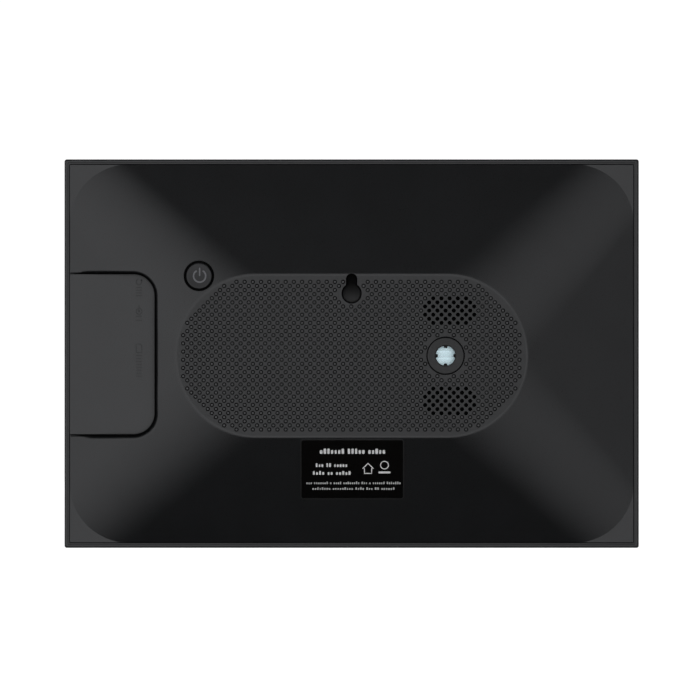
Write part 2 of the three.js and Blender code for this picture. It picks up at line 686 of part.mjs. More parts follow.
function cardSocket() {
  const z = PORT_Z.card;
  const mouthX = RECESS_INNER_X - PORT_GAP;
  const backX = mouthX - CARD.length;
  const halfZ = CARD.slotWidth / 2 + CARD.wall;
  const topY = CARD.y + CARD.slotThick / 2 + 0.15;
  const body = cut(
    union(block(backX, mouthX, BOARD.backY, topY, z - halfZ, z + halfZ)),
    cardSlot(backX + 1, mouthX + 1, 0.15),
  );
  const sliderX = backX + 1.4 + CARD.travel;
  const halfThick = CARD_SLIDER.thick / 2;
  const slider = block(
    sliderX,
    sliderX + CARD_SLIDER.length,
    CARD.y - halfThick,
    CARD.y + halfThick,
    z + CARD_SLIDER.reach,
    z + CARD.slotWidth / 2 - 0.5,
  );
  return [
    meshOf('card_socket', geometryOf(body), 'sheetMetal'),
    meshOf('card_slider', slider, 'darkPlastic'),
  ];
}

function resetSwitch() {
  const { y, plungerR, boreR, half, backY, length, standoff } = RESET;
  const z = PORT_Z.reset;
  const faceX = RECESS_INNER_X - standoff;
  const body = cut(
    union(block(faceX - length, faceX, BOARD.backY, backY, z - half, z + half)),
    rodX(y, z, boreR, faceX - 1.7, faceX + 1, 12),
  );
  const plunger = rodX(y, z, plungerR, faceX - 1.2, faceX + 1.2, 12);
  return [
    meshOf('reset_switch_body', geometryOf(body), 'chip'),
    meshOf('reset_plunger', plunger, 'lightGuide'),
  ];
}

// ---------------------------------------------------------------- speakers, aerial and leads

function speakerOutline(z, inset) {
  return roundEnded(SPEAKER_X, z, SPEAKER.halfX - inset, SPEAKER.r - inset, 8);
}

function speaker(number, z) {
  const { wall, floor, frontY, earX } = SPEAKER;
  const backY = INNER_FACE_Y - 0.3;
  const earXs = [SPEAKER_X - earX, SPEAKER_X + earX];
  const basket = cut(
    union(plate(speakerOutline(z, 0), frontY, backY), earPlate(SPEAKER_X, z, earX)),
    plate(speakerOutline(z, wall), frontY + floor, BACK_Y),
    rodY(SPEAKER_X, z, MAGNET.windowR, frontY - 1, BACK_Y, 16),
    ...earXs.map((x) => rodY(x, z, CLEAR_R, EAR.frontY - 1, EAR.backY + 1, 10)),
  );
  const dust = new THREE.ConeGeometry(CONE.capR, CONE.capHeight, 16);
  dust.translate(SPEAKER_X, CONE.backY + CONE.capHeight / 2 - 0.1, z);
  const cone = union(plate(speakerOutline(z, wall + CONE.gap), CONE.frontY, CONE.backY), dust);
  const magnet = union(
    rodY(SPEAKER_X, z, MAGNET.r, MAGNET.frontY, frontY, 20),
    rodY(SPEAKER_X, z, MAGNET.poleR, MAGNET.poleFrontY, MAGNET.poleBackY, 20),
  );
  return [
    meshOf(`speaker_basket_${number}`, geometryOf(basket), 'darkPlastic'),
    meshOf(`speaker_cone_${number}`, geometryOf(cone), 'chip'),
    meshOf(`speaker_magnet_${number}`, geometryOf(magnet), 'steel'),
  ];
}

// Lead from a speaker's terminal to its connector on the board.
function speakerLead(number, z, endZ) {
  const tapX = SPEAKER_X + MAGNET.r;
  const points = [
    [tapX + 0.6, 2.6, z],
    [tapX + 6, 2, z],
    [-12, 0.8, (z + endZ) / 2],
    [2, 0.6, endZ],
    [8.6, 0.6, endZ],
  ];
  return lead(`speaker_wire_${number}`, points, 0.6, 'chip');
}

function aerial() {
  const { x0, x1, z, halfWidth, thick } = AERIAL;
  const strip = block(x0, x1, LEDGE_BACK_Y, LEDGE_BACK_Y + thick, z - halfWidth, z + halfWidth);
  const cable = lead('antenna_cable', [
    [39.2, -7.6, z],
    [34, -6.4, z],
    [30, -4, 162.5],
    [27, -3.4, 150],
    [25, -1.6, 136],
    [23, 0.6, 128],
    [22, 0.4, 121],
    [22, 0.2, 117.8],
  ], 0.55, 'chip');
  return [meshOf('wifi_antenna', strip, 'board'), cable];
}

// Ribbon from the board, down between the board and the display, to the display's lower edge.
function displayRibbon(name, { x0, x1, endZ }) {
  const sideView = [[-3.2, RIBBON_END_Z], [-3.2, 28], [-4.1, 21.5], [-4.1, endZ]];
  return ribbon(name, x0, x1, sideView, 0.3);
}

function internalLeads() {
  return [
    speakerLead(1, SPEAKER_ZS[0], SPEAKER_LEAD_Z + 2.5),
    speakerLead(2, SPEAKER_ZS[1], SPEAKER_LEAD_Z - 2.5),
    ...aerial(),
    displayRibbon('display_cable', DISPLAY_RIBBON),
    displayRibbon('touch_cable', TOUCH_RIBBON),
  ];
}

// ---------------------------------------------------------------- the whole frame

const group = new THREE.Group();
group.add(
  frontFrame(),
  ...screenStack(),
  ...displayBrackets(),
  rearCover(),
  ...standSocket(),
  keyholePocket(),
  ...powerButton(),
  ratingLabel(),
  ...mainBoard(),
  ...boardComponents(),
  ...dcJack(),
  ...cardSocket(),
  ...resetSwitch(),
  ...SPEAKER_ZS.flatMap((z, i) => speaker(i + 1, z)),
  ...internalLeads(),
);

export default group;
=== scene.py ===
"""Looks of a digital photo frame: 10.1 inch touch screen in front, domed plastic casing behind.

Lengths are in millimetres until a mesh is made. The screen faces -Y, the back faces +Y, +Z is up.
"""

import json
import math

import bmesh
import bpy
import numpy as np
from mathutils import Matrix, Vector
from mathutils.geometry import delaunay_2d_cdt


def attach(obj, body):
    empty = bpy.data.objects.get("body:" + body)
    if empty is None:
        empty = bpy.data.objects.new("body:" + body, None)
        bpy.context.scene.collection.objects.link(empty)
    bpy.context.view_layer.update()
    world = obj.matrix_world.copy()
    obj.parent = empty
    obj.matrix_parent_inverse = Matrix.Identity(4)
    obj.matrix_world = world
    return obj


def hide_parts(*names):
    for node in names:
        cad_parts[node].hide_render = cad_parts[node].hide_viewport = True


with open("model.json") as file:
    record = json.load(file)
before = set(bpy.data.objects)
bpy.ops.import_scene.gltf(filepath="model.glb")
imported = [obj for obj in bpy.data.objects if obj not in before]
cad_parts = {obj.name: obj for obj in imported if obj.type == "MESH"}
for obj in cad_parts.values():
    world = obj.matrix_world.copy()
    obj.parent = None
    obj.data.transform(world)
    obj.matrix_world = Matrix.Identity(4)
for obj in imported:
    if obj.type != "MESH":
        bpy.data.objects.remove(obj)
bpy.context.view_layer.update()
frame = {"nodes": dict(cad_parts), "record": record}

MM = 0.001
MICROMETRE = 0.000001
FULL = 2 * math.pi

# ---- dimensions of the back

MID_Z = 86.25
EDGE_Y = -1
PLATEAU_Y = 11.75
DOME_RISE = PLATEAU_Y - EDGE_Y
WALL = 2
BOTTOM_RING = (125.3, 84.05, MID_Z, 26.7)
TOP_RING = (78.15, 36.3, 85.3, 36.3)
INNER_BOTTOM_RING = (123.3, 82.05, MID_Z, 24.7)
INNER_TOP_RING = (77.85, 36.0, 85.3, 36.0)
INNER_RISE = 12.75
SKIRT_FRONT_Y = -7
SKIRT_WALL = 1.5
SKIRT_INNER_R = 0.3
OUTLINE_R = 0.6

RECESS = (87.4, 50.5, 121.45, 9.5)
RECESS_FILLET = 1.9
RECESS_FILLET_LOW = 2.5
EDGE_FILLET = 0.3
CREASE_SOFT = 0.12
FILLET_GROWTH_TOP_Z = 62
FILLET_GROWTH_HEIGHT = 8
FILLET_DEPTH_SHARE = 0.85

BUTTON = (67.6, 120.7)
BUTTON_HOLE_R = 6.7
BUTTON_FILLET = 0.15
PLATE_BORDER = 0.9
KEYHOLE = (0, 112.9)
KEYHOLE_R = 4.33
KEYHOLE_SLOT_R = 2.35
KEYHOLE_TOP_Z = 121.6
KEYHOLE_FILLET = 0.25
KEYHOLE_DRAFT = 0.42
SOCKET = (-41.6, 85.3)
SOCKET_HOLE_R = 8.45
SOCKET_FILLET = 0.1
QUADRANTS = ((1, 1), (-1, 1), (-1, -1), (1, -1))

SPEAKER_X = -43.4
SPEAKER_ZS = (105.3, 65.3)
GRILLE_ROWS = (5, 6, 7, 6, 7, 6, 5)
GRILLE_PITCH = 3.63
GRILLE_R = 0.95

BUMP_STEP = GRILLE_PITCH / 2
BUMP_R = 1.0
BUMP_RISE = 0.25
BUMP_BORDER = 1.1
BUMP_FLAT = 0.38
BUMP_SIDES = 12
BUMP_SHARES = (1.0, 0.85, 0.7, 0.54, 0.38)
SOCKET_GAP, KEYHOLE_GAP, GRILLE_GAP = 0.02, 0.05, 0.1

JACK_HOLE = (3.2, 102.7, 3.3)
RESET_HOLE = (1.4, 115.6, 1.0)
CARD_HOLE = (0.15, 83, 0.85, 5.9)


# ---- distances and heights

def reach(x, z, place):
    return np.hypot(x - place[0], z - place[1])


def rect_distance(x, z, half_x, half_z, centre_z, r, centre_x=0):
    qx = np.abs(x - centre_x) - (half_x - r)
    qz = np.abs(z - centre_z) - (half_z - r)
    outside = np.hypot(np.maximum(qx, 0), np.maximum(qz, 0))
    return outside + np.minimum(np.maximum(qx, qz), 0) - r


def ring_at(share, lower, upper):
    return [a + share * (b - a) for a, b in zip(lower, upper)]


SHARE_LIMIT = 1.06
HALVINGS = 28


def dome_share(x, z, lower, upper):
    """How far up the dome a point is. Each level line is a rounded rectangle."""
    low = np.zeros(x.shape)
    high = np.full(x.shape, SHARE_LIMIT)
    for _ in range(HALVINGS):
        share = (low + high) / 2
        half_x, half_z, centre_z, r = ring_at(share, lower, upper)
        inside = rect_distance(x, z, half_x, half_z, centre_z, r) <= 0
        low = np.where(inside, share, low)
        high = np.where(inside, high, share)
    return low


def fillet(distance, r):
    """Drop of a rounded edge, r deep at the edge and nothing r away from it."""
    safe = np.maximum(r, 1e-6)
    along = np.clip(1 - distance / safe, 0, 1)
    return safe * (1 - np.sqrt(1 - along ** 2))


def recess_distance(x, z, grow=0):
    wall_x, z0, z1, r = RECESS
    far = 400
    half_x = (far - wall_x) / 2 + grow
    half_z = (z1 - z0) / 2 + grow
    return rect_distance(x, z, half_x, half_z, (z0 + z1) / 2, r + grow, (far + wall_x) / 2)


def outline_inset(x, z):
    return -rect_distance(x, z, BOTTOM_RING[0], BOTTOM_RING[1], MID_Z, OUTLINE_R)


def keyhole_distance(x, z):
    big = reach(x, z, KEYHOLE) - KEYHOLE_R
    top = KEYHOLE_TOP_Z - KEYHOLE_SLOT_R
    slot = np.hypot(x - KEYHOLE[0], z - np.clip(z, KEYHOLE[1], top)) - KEYHOLE_SLOT_R
    return np.minimum(big, slot)


def bump_site(x, z):
    """Odd numbers of the diagonal cell of the bump lattice that a point lies in."""
    across = (x - SPEAKER_X) / BUMP_STEP
    up = (z - SPEAKER_ZS[0]) / BUMP_STEP
    a = 2 * np.round((across + up - 1) / 2) + 1
    b = 2 * np.round((across - up - 1) / 2) + 1
    return a.astype(int), b.astype(int)


def site_place(a, b):
    return SPEAKER_X + BUMP_STEP * (a + b) / 2, SPEAKER_ZS[0] + BUMP_STEP * (a - b) / 2


def grille_places():
    places = []
    for centre_z in SPEAKER_ZS:
        for row, count in enumerate(GRILLE_ROWS):
            z = centre_z + (row - (len(GRILLE_ROWS) - 1) / 2) * BUMP_STEP
            for i in range(count):
                places.append((SPEAKER_X + (i - (count - 1) / 2) * GRILLE_PITCH, z))
    return np.array(places)


GRILLE = grille_places()
SITE_SPAN = 130


def kept_bumps():
    kept = np.zeros((2 * SITE_SPAN, 2 * SITE_SPAN), bool)
    numbers = np.arange(-SITE_SPAN + 1, SITE_SPAN, 2)
    a, b = np.meshgrid(numbers, numbers)
    x, z = site_place(a, b)
    clear = rect_distance(x, z, *TOP_RING) < -(BUMP_BORDER + BUMP_R)
    clear &= reach(x, z, SOCKET) > SOCKET_HOLE_R + SOCKET_FILLET + BUMP_R + SOCKET_GAP
    clear &= keyhole_distance(x, z) > KEYHOLE_FILLET + BUMP_R + KEYHOLE_GAP
    gap = np.hypot(x[..., None] - GRILLE[:, 0], z[..., None] - GRILLE[:, 1]).min(axis=-1)
    clear &= gap > GRILLE_R + BUMP_R + GRILLE_GAP
    kept[a[clear] + SITE_SPAN, b[clear] + SITE_SPAN] = True
    return kept, np.column_stack([x[clear], z[clear]])


BUMP_KEPT, BUMPS = kept_bumps()


def bump_height(x, z):
    a, b = bump_site(x, z)
    ia = np.clip(a + SITE_SPAN, 0, 2 * SITE_SPAN - 1)
    ib = np.clip(b + SITE_SPAN, 0, 2 * SITE_SPAN - 1)
    share = reach(x, z, site_place(a, b)) / BUMP_R
    up = np.clip((1 - share) / (1 - BUMP_FLAT), 0, 1)
    return np.where(BUMP_KEPT[ia, ib], BUMP_RISE * up * up * (3 - 2 * up), 0)


def dome_height(x, z):
    below = DOME_RISE * (1 - dome_share(x, z, BOTTOM_RING, TOP_RING))
    soft = (np.clip(below, -CREASE_SOFT, CREASE_SOFT) + CREASE_SOFT) ** 2 / (4 * CREASE_SOFT)
    return PLATEAU_Y - np.where(below > CREASE_SOFT, below, soft)


def recess_fillet(z):
    """Radius of the rounding round the recess, which grows towards its lower side."""
    low = np.clip((FILLET_GROWTH_TOP_Z - z) / FILLET_GROWTH_HEIGHT, 0, 1)
    return RECESS_FILLET + (RECESS_FILLET_LOW - RECESS_FILLET) * low


def back_height(x, z):
    y = dome_height(x, z)
    deepest = FILLET_DEPTH_SHARE * np.maximum(y - EDGE_Y, 0)
    y = y - fillet(recess_distance(x, z), np.minimum(recess_fillet(z), deepest))
    y = y - fillet(outline_inset(x, z), EDGE_FILLET)
    y = y - fillet(reach(x, z, BUTTON) - BUTTON_HOLE_R, BUTTON_FILLET)
    y = y - fillet(reach(x, z, SOCKET) - SOCKET_HOLE_R, SOCKET_FILLET)
    y = y - fillet(keyhole_distance(x, z), KEYHOLE_FILLET)
    return y + bump_height(x, z)


def floor_height(x, z):
    return EDGE_Y - fillet(outline_inset(x, z), EDGE_FILLET)


def inner_height(x, z):
    return EDGE_Y - WALL + INNER_RISE * np.minimum(dome_share(x, z, INNER_BOTTOM_RING, INNER_TOP_RING), 1)


def underside_height(x, z):
    return np.full(np.shape(x), float(EDGE_Y - WALL))


# ---- outlines

def circle(x, z, r, sides):
    angles = np.arange(sides) * FULL / sides
    return np.column_stack([x + r * np.cos(angles), z + r * np.sin(angles)])


def rounded_rect(half_x, half_z, centre_z, r, steps, centre_x=0):
    points = []
    for corner, (sign_x, sign_z) in enumerate(QUADRANTS):
        for step in range(steps + 1):
            angle = (corner + step / steps) * math.pi / 2
            points.append((centre_x + sign_x * (half_x - r) + r * math.cos(angle),
                           centre_z + sign_z * (half_z - r) + r * math.sin(angle)))
    return np.array(points)


def arc(x, z, r, start, turn, steps):
    """Points of an arc that begins at an angle and goes on through a turn."""
    angles = [start + turn * step / steps for step in range(steps + 1)]
    return [(x + r * math.cos(angle), z + r * math.sin(angle)) for angle in angles]


def keyhole_outline(grow=0.0):
    r = KEYHOLE_R + grow
    slot_r = KEYHOLE_SLOT_R + grow
    neck = math.asin(slot_r / r)
    head = arc(*KEYHOLE, r, math.pi / 2 + neck, FULL - 2 * neck, 40)
    slot = arc(KEYHOLE[0], KEYHOLE_TOP_Z - KEYHOLE_SLOT_R, slot_r, 0, math.pi, 16)
    return np.array(head + slot)


RECESS_XS = (98, 100, 103, 106, 109, 112, 115, 117, 119, 121, 122.3, 123.3, 123.8, 124.4, 124.7, 125, 125.21)
RECESS_ARC_STEPS = 14


def recess_path(grow, end_x):
    """Wall line of the recess, from the casing's edge round the inner corners and back to the edge."""
    wall_x, z0, z1, r = RECESS[0] - grow, RECESS[1] - grow, RECESS[2] + grow, RECESS[3] + grow
    quarter = math.pi / 2
    xs = [x for x in RECESS_XS if wall_x + r + 0.2 < x < end_x - 0.05] + [end_x]
    points = [(x, z0) for x in reversed(xs)]
    points += arc(wall_x + r, z0 + r, r, -quarter, -quarter, RECESS_ARC_STEPS)
    points += [(wall_x, z) for z in np.linspace(z0 + r, z1 - r, 12)[1:-1]]
    points += arc(wall_x + r, z1 - r, r, math.pi, -quarter, RECESS_ARC_STEPS)
    points += [(x, z1) for x in xs]
    return np.array(points)


# ---- triangulation

def inside_polygon(points, polygon):
    inside = np.zeros(len(points), bool)
    x, z = points.T
    ax, az = polygon[-1]
    for bx, bz in polygon:
        crosses = (az > z) != (bz > z)
        if az != bz:
            at = ax + (z - az) * (bx - ax) / (bz - az)
            inside ^= crosses & (x < at)
        ax, az = bx, bz
    return inside


class Flat:
    """Points and fixed edges inside one outline, before it is cut into triangles."""

    def __init__(self, outline):
        self.points, self.edges, self.loops = [], [], []
        self.index = {}
        self.line(outline, closed=True)

    def put(self, point, loop):
        key = (round(point[0], 6), round(point[1], 6))
        if key not in self.index:
            self.index[key] = len(self.points)
            self.points.append((float(point[0]), float(point[1])))
            self.loops.append(loop)
        return self.index[key]

    def line(self, points, closed=False, loop=0):
        """Adds a line whose edges the triangles must keep."""
        ids = [self.put(p, loop) for p in points]
        pairs = list(zip(ids, ids[1:] + ids[:1] if closed else ids[1:]))
        self.edges += [(a, b) for a, b in pairs if a != b]

    def runs(self, points, clear):
        """Adds the stretches of a line whose points are clear."""
        cuts = np.flatnonzero(np.diff(clear.astype(int))) + 1
        for run in np.split(np.arange(len(points)), cuts):
            if clear[run[0]] and len(run) > 1:
                self.line(points[run])

    def hole(self, points, number):
        """Adds a convex loop that stays open; each has a number of its own."""
        self.line(points, closed=True, loop=number)

    def triangles(self, holes=()):
        """Triangles inside the outermost line, outside the holes and outside every numbered convex loop."""
        vectors = [Vector(p) for p in self.points]
        out, _, faces, origins, _, _ = delaunay_2d_cdt(vectors, self.edges, [], 1, 1e-6)
        coords = np.array([self.points[o[0]] if o else tuple(v) for v, o in zip(out, origins)])
        loops = np.array([self.loops[o[0]] if o else 0 for o in origins])
        faces = np.array(faces)
        centres = coords[faces].mean(axis=1)
        kept = np.ones(len(faces), bool)
        for polygon in holes:
            kept &= ~inside_polygon(centres, polygon)
        first, second, third = loops[faces].T
        same = (first > 0) & (first == second) & (first == third)
        return coords, faces[kept & ~same]


SLOPE_STEP = 0.004
SLOPE_PULL_IN = 0.05
WELD_GRID = 0.001
WELD_SHIFT = 0.000137
LEAST_AREA = 1e-7


class Skin:
    """Triangles of one closed mesh, patch by patch, each corner with its own normal."""

    def __init__(self):
        self.corners = []
        self.normals = []

    def add(self, corners, normals):
        """corners and normals are arrays of shape (triangles, 3, 3); the normals decide the winding."""
        corners = np.asarray(corners, float)
        normals = np.asarray(normals, float)
        normals = normals / np.maximum(np.linalg.norm(normals, axis=2, keepdims=True), 1e-12)
        face = np.cross(corners[:, 1] - corners[:, 0], corners[:, 2] - corners[:, 0])
        flip = (face * normals.sum(axis=1)).sum(axis=1) < 0
        corners[flip] = corners[flip][:, ::-1]
        normals[flip] = normals[flip][:, ::-1]
        self.corners.append(corners)
        self.normals.append(normals)

    def height(self, coords, faces, height, up=1):
        """Triangles on a height field, with normals from its slope a little inside each corner."""
        flat = coords[faces]
        near = flat + SLOPE_PULL_IN * (flat.mean(axis=1, keepdims=True) - flat)
        x, z = near[..., 0], near[..., 1]
        slope_x = (height(x + SLOPE_STEP, z) - height(x - SLOPE_STEP, z)) / (2 * SLOPE_STEP)
        slope_z = (height(x, z + SLOPE_STEP) - height(x, z - SLOPE_STEP)) / (2 * SLOPE_STEP)
        normals = up * np.stack([-slope_x, np.ones_like(slope_x), -slope_z], axis=-1)
        self.add(over(coords, height)[faces], normals)

    def bridge(self, first, second, normals):
        """Band of triangles between two closed lines of as many points; normals are one for each point."""
        i = np.arange(len(first))
        j = (i + 1) % len(first)
        lower = np.stack([first[i], first[j], second[j]], axis=1)
        upper = np.stack([first[i], second[j], second[i]], axis=1)
        lower_n = np.stack([normals[i], normals[j], normals[j]], axis=1)
        upper_n = np.stack([normals[i], normals[j], normals[i]], axis=1)
        corners = np.concatenate([lower, upper])
        shape = np.concatenate([lower_n, upper_n])
        sides = corners[:, 1:] - corners[:, :1]
        whole = np.linalg.norm(np.cross(sides[:, 0], sides[:, 1]), axis=1) > LEAST_AREA
        self.add(corners[whole], shape[whole])

    def mesh(self):
        corners = np.concatenate(self.corners)
        normals = np.concatenate(self.normals)
        flat = corners.reshape(-1, 3)
        keys = np.floor((flat + WELD_SHIFT) / WELD_GRID).astype(np.int64)
        _, first, back = np.unique(keys, axis=0, return_index=True, return_inverse=True)
        faces = back.reshape(-1, 3)
        whole = (faces != np.roll(faces, 1, axis=1)).all(axis=1)
        mesh = bpy.data.meshes.new("mesh")
        mesh.from_pydata((flat[first] * MM).tolist(), [], faces[whole].tolist())
        mesh.shade_smooth()
        mesh.normals_split_custom_set(normals[whole].reshape(-1, 3).tolist())
        mesh.update()
        return mesh


def outward(loop, sign=1.0):
    """Horizontal normals of a closed loop that runs anticlockwise, pointing out of it."""
    ahead = np.roll(loop, -1, axis=0) - np.roll(loop, 1, axis=0)
    ahead = ahead / np.linalg.norm(ahead, axis=1, keepdims=True)
    return np.column_stack([ahead[:, 1], np.zeros(len(loop)), -ahead[:, 0]]) * sign


def lift(loop, y):
    """Flat (x, z) points as points in space at a height or at heights y."""
    return np.column_stack([loop[:, 0], np.broadcast_to(y, len(loop)), loop[:, 1]])


def over(loop, height):
    return lift(loop, height(*loop.T))


# ---- rear shell

SOFT_PARTS = (0.15, 0.45, 1.0)
EDGE_INSETS = (0.09, EDGE_FILLET)
# Share of the recess's rounding, out from its wall, that gets the painted shade.
PAINTED_SHADE_SHARE = 0.47
ROUNDING_PARTS = (0.06, 0.22, PAINTED_SHADE_SHARE, 1.0)
CREASE_SHARES = (0.991, 0.9955, 1.0, 1.0045, 1.009)
RULING_SHARES = np.linspace(0.0, 0.975, 14)
RULINGS = 24
LEVEL_STEP, FOOT_STEP, EDGE_STEP = 1.5, 0.5, 3
LINE_GAP, FOOT_GAP, ROUNDING_GAP, RECESS_GAP, BUTTON_GAP = 0.3, 0.02, 0.05, 0.5, 1.2
LEVEL_CORNER_STEPS, EDGE_CORNER_STEPS = 22, 5
RECESS_Z = RECESS[1:3]
INNER_RECESS_Z = (RECESS[1] - WALL, RECESS[2] + WALL)
ROUND_HOLES = [(*BUTTON, BUTTON_HOLE_R, BUTTON_FILLET, 64), (*SOCKET, SOCKET_HOLE_R, SOCKET_FILLET, 64)]
ROUND_HOLES += [(x, z, GRILLE_R, 0, 16) for x, z in GRILLE]


def recess_frame(grow):
    """Wall line of the recess with its length along the wall and its normals into the recess."""
    end_x = BOTTOM_RING[0] if grow == 0 else INNER_BOTTOM_RING[0]
    path = recess_path(grow, end_x)
    ahead = np.gradient(path, axis=0)
    ahead = ahead / np.linalg.norm(ahead, axis=1, keepdims=True)
    along = np.concatenate([[0], np.cumsum(np.linalg.norm(np.diff(path, axis=0), axis=1))])
    normals = np.column_stack([-ahead[:, 1], np.zeros(len(path)), ahead[:, 0]])
    middle = len(path) // 2
    if normals[middle][0] < 0:
        normals = -normals
    return path, along, normals


def port_loops():
    """Outlines of the port openings as (y, z) points."""
    y, z, half_y, half_z = CARD_HOLE
    slot = rounded_rect(half_z, half_y, 0, 0.3, 3)[:, ::-1] + (y, z)
    return [circle(*JACK_HOLE, 32), circle(*RESET_HOLE, 16), slot]


def add_port_wall(skin, grow, top_height, foot_height, sign):
    """One face of the recess wall, unrolled along its length, with the port openings in it."""
    path, along, normals = recess_frame(grow)
    side = path[:, 0] < RECESS[0] + RECESS[3]
    top = np.column_stack([along, top_height(*path.T)])
    foot = np.column_stack([along, foot_height(*path.T)])
    flat = Flat(np.vstack([foot, top[::-1][1:-1]]))
    rims = []
    for number, loop in enumerate(port_loops(), 1):
        s = np.interp(loop[:, 1], path[side][:, 1], along[side])
        flat.hole(np.column_stack([s, loop[:, 0]]), number)
        x = np.interp(s, along, path[:, 0])
        rims.append(np.column_stack([x, loop[:, 0], loop[:, 1]]))
    coords, faces = flat.triangles()
    s = coords[:, 0]
    points = np.column_stack([np.interp(s, along, path[:, 0]), coords[:, 1], np.interp(s, along, path[:, 1])])
    shape = np.column_stack([np.interp(s, along, normals[:, k]) for k in range(3)]) * sign
    skin.add(points[faces], shape[faces])
    return rims


def finer(line, longest):
    """The line with its long stretches cut into pieces."""
    points = []
    for a, b in zip(line[:-1], line[1:]):
        pieces = max(1, math.ceil(math.dist(a, b) / longest))
        points += [a + (b - a) * k / pieces for k in range(pieces)]
    return np.array(points + [line[-1]])


def level_line(share, lower, upper):
    """Closed level line of a dome, in short pieces."""
    x, z, centre_z, r = ring_at(share, lower, upper)
    loop = rounded_rect(x, z, centre_z, min(r, z), LEVEL_CORNER_STEPS)
    return finer(np.vstack([loop, loop[:1]]), LEVEL_STEP)


def clear_of_features(points, margin=LINE_GAP):
    """Which points keep away from the recess, the button and the casing's edge."""
    x, z = points.T
    clear = recess_distance(x, z) > RECESS_FILLET_LOW + RECESS_GAP
    clear &= reach(x, z, BUTTON) > BUTTON_HOLE_R + BUTTON_GAP
    return clear & (outline_inset(x, z) > EDGE_FILLET + margin)


def add_dome_lines(flat):
    """Lines of the outer face: plateau edge and the edge of its plate, dome rulings and dome foot."""
    plate_share = 1 + PLATE_BORDER / (BOTTOM_RING[0] - TOP_RING[0])
    for share in (*CREASE_SHARES, plate_share):
        ring = level_line(share, BOTTOM_RING, TOP_RING)
        flat.runs(ring, keyhole_distance(*ring.T) > KEYHOLE_FILLET + LINE_GAP)
    x, z, centre_z, r = ring_at(RULING_SHARES, BOTTOM_RING, TOP_RING)
    for corner, (sign_x, sign_z) in enumerate(QUADRANTS):
        net = []
        for step in range(RULINGS + 1):
            angle = (corner + step / RULINGS) * math.pi / 2
            ruling = np.column_stack([sign_x * (x - r) + r * math.cos(angle),
                                      centre_z + sign_z * (z - r) + r * math.sin(angle)])
            flat.runs(ruling, clear_of_features(ruling))
            net.append(ruling[0])
        foot = finer(net, FOOT_STEP)
        flat.runs(foot, clear_of_features(foot, FOOT_GAP))


def add_recess_rounding(flat):
    """Lines along the recess, outside it, where its rounded edge bends."""
    path, _, normals = recess_frame(0)
    for part in ROUNDING_PARTS:
        ring = path - (part * recess_fillet(path[:, 1]))[:, None] * normals[:, [0, 2]]
        ring[0][0] = ring[-1][0] = BOTTOM_RING[0]
        flat.line(ring[outline_inset(*ring.T) > EDGE_FILLET + ROUNDING_GAP])


def around_recess(inset, r, z0, z1):
    """Line at an inset from the casing's edge, from the recess's upper side anticlockwise to its lower."""
    half_x, half_z = BOTTOM_RING[0] - inset, BOTTOM_RING[1] - inset
    loop = rounded_rect(half_x, half_z, MID_Z, r, EDGE_CORNER_STEPS)
    start = next(i for i, p in enumerate(loop) if abs(p[0] - half_x) < 1e-6 and p[1] > MID_Z)
    return finer(np.vstack([[(half_x, z1)], np.roll(loop, -start, axis=0), [(half_x, z0)]]), EDGE_STEP)


def outer_edge(inset=0.0):
    """The casing's edge without its stretch along the recess."""
    return around_recess(inset, max(OUTLINE_R - inset, 0.1), *RECESS_Z)


def skirt_edge():
    """Inside of the wall that runs round under the casing's edge."""
    return around_recess(SKIRT_WALL, SKIRT_INNER_R, *INNER_RECESS_Z)


def add_outer_face(skin, keyhole):
    """The back outside the recess, with its holes and with an open circle for each bump."""
    flat = Flat(np.vstack([outer_edge(), recess_path(0, BOTTOM_RING[0])[1:-1]]))
    for inset in EDGE_INSETS:
        flat.line(outer_edge(inset))
    add_recess_rounding(flat)
    add_dome_lines(flat)
    for number, (x, z, r, soft, sides) in enumerate(ROUND_HOLES, 1):
        flat.hole(circle(x, z, r, sides), number)
        for part in SOFT_PARTS if soft else ():
            flat.line(circle(x, z, r + part * soft, sides), closed=True)
    flat.line(keyhole, closed=True)
    for part in SOFT_PARTS:
        flat.line(keyhole_outline(part * KEYHOLE_FILLET), closed=True)
    for number, (x, z) in enumerate(BUMPS, len(ROUND_HOLES) + 1):
        flat.hole(circle(x, z, BUMP_R, BUMP_SIDES), number)
    skin.height(*flat.triangles([keyhole]), back_height)


def add_bumps(skin):
    """Bumps, each a low dome of a few rings on its base circle."""
    rings = [[circle(x, z, share * BUMP_R, BUMP_SIDES) for x, z in BUMPS] for share in BUMP_SHARES]
    points = np.concatenate([*np.array(rings), BUMPS[:, None, :]], axis=1)
    cap = []
    for step in range(len(BUMP_SHARES)):
        first, second = step * BUMP_SIDES, (step + 1) * BUMP_SIDES
        for i in range(BUMP_SIDES):
            j = (i + 1) % BUMP_SIDES
            if step + 1 < len(BUMP_SHARES):
                cap += [(first + i, first + j, second + j), (first + i, second + j, second + i)]
            else:
                cap.append((first + i, first + j, second))
    starts = points.shape[1] * np.arange(len(BUMPS))
    faces = (np.array(cap)[None] + starts[:, None, None]).reshape(-1, 3)
    skin.height(points.reshape(-1, 2), faces, back_height)


def add_recess_floor(skin):
    """Floor of the port recess, out to the casing's edge."""
    flat = Flat(recess_path(0, BOTTOM_RING[0]))
    for inset in EDGE_INSETS:
        flat.line([(BOTTOM_RING[0] - inset, z) for z in RECESS_Z])
    skin.height(*flat.triangles(), floor_height)


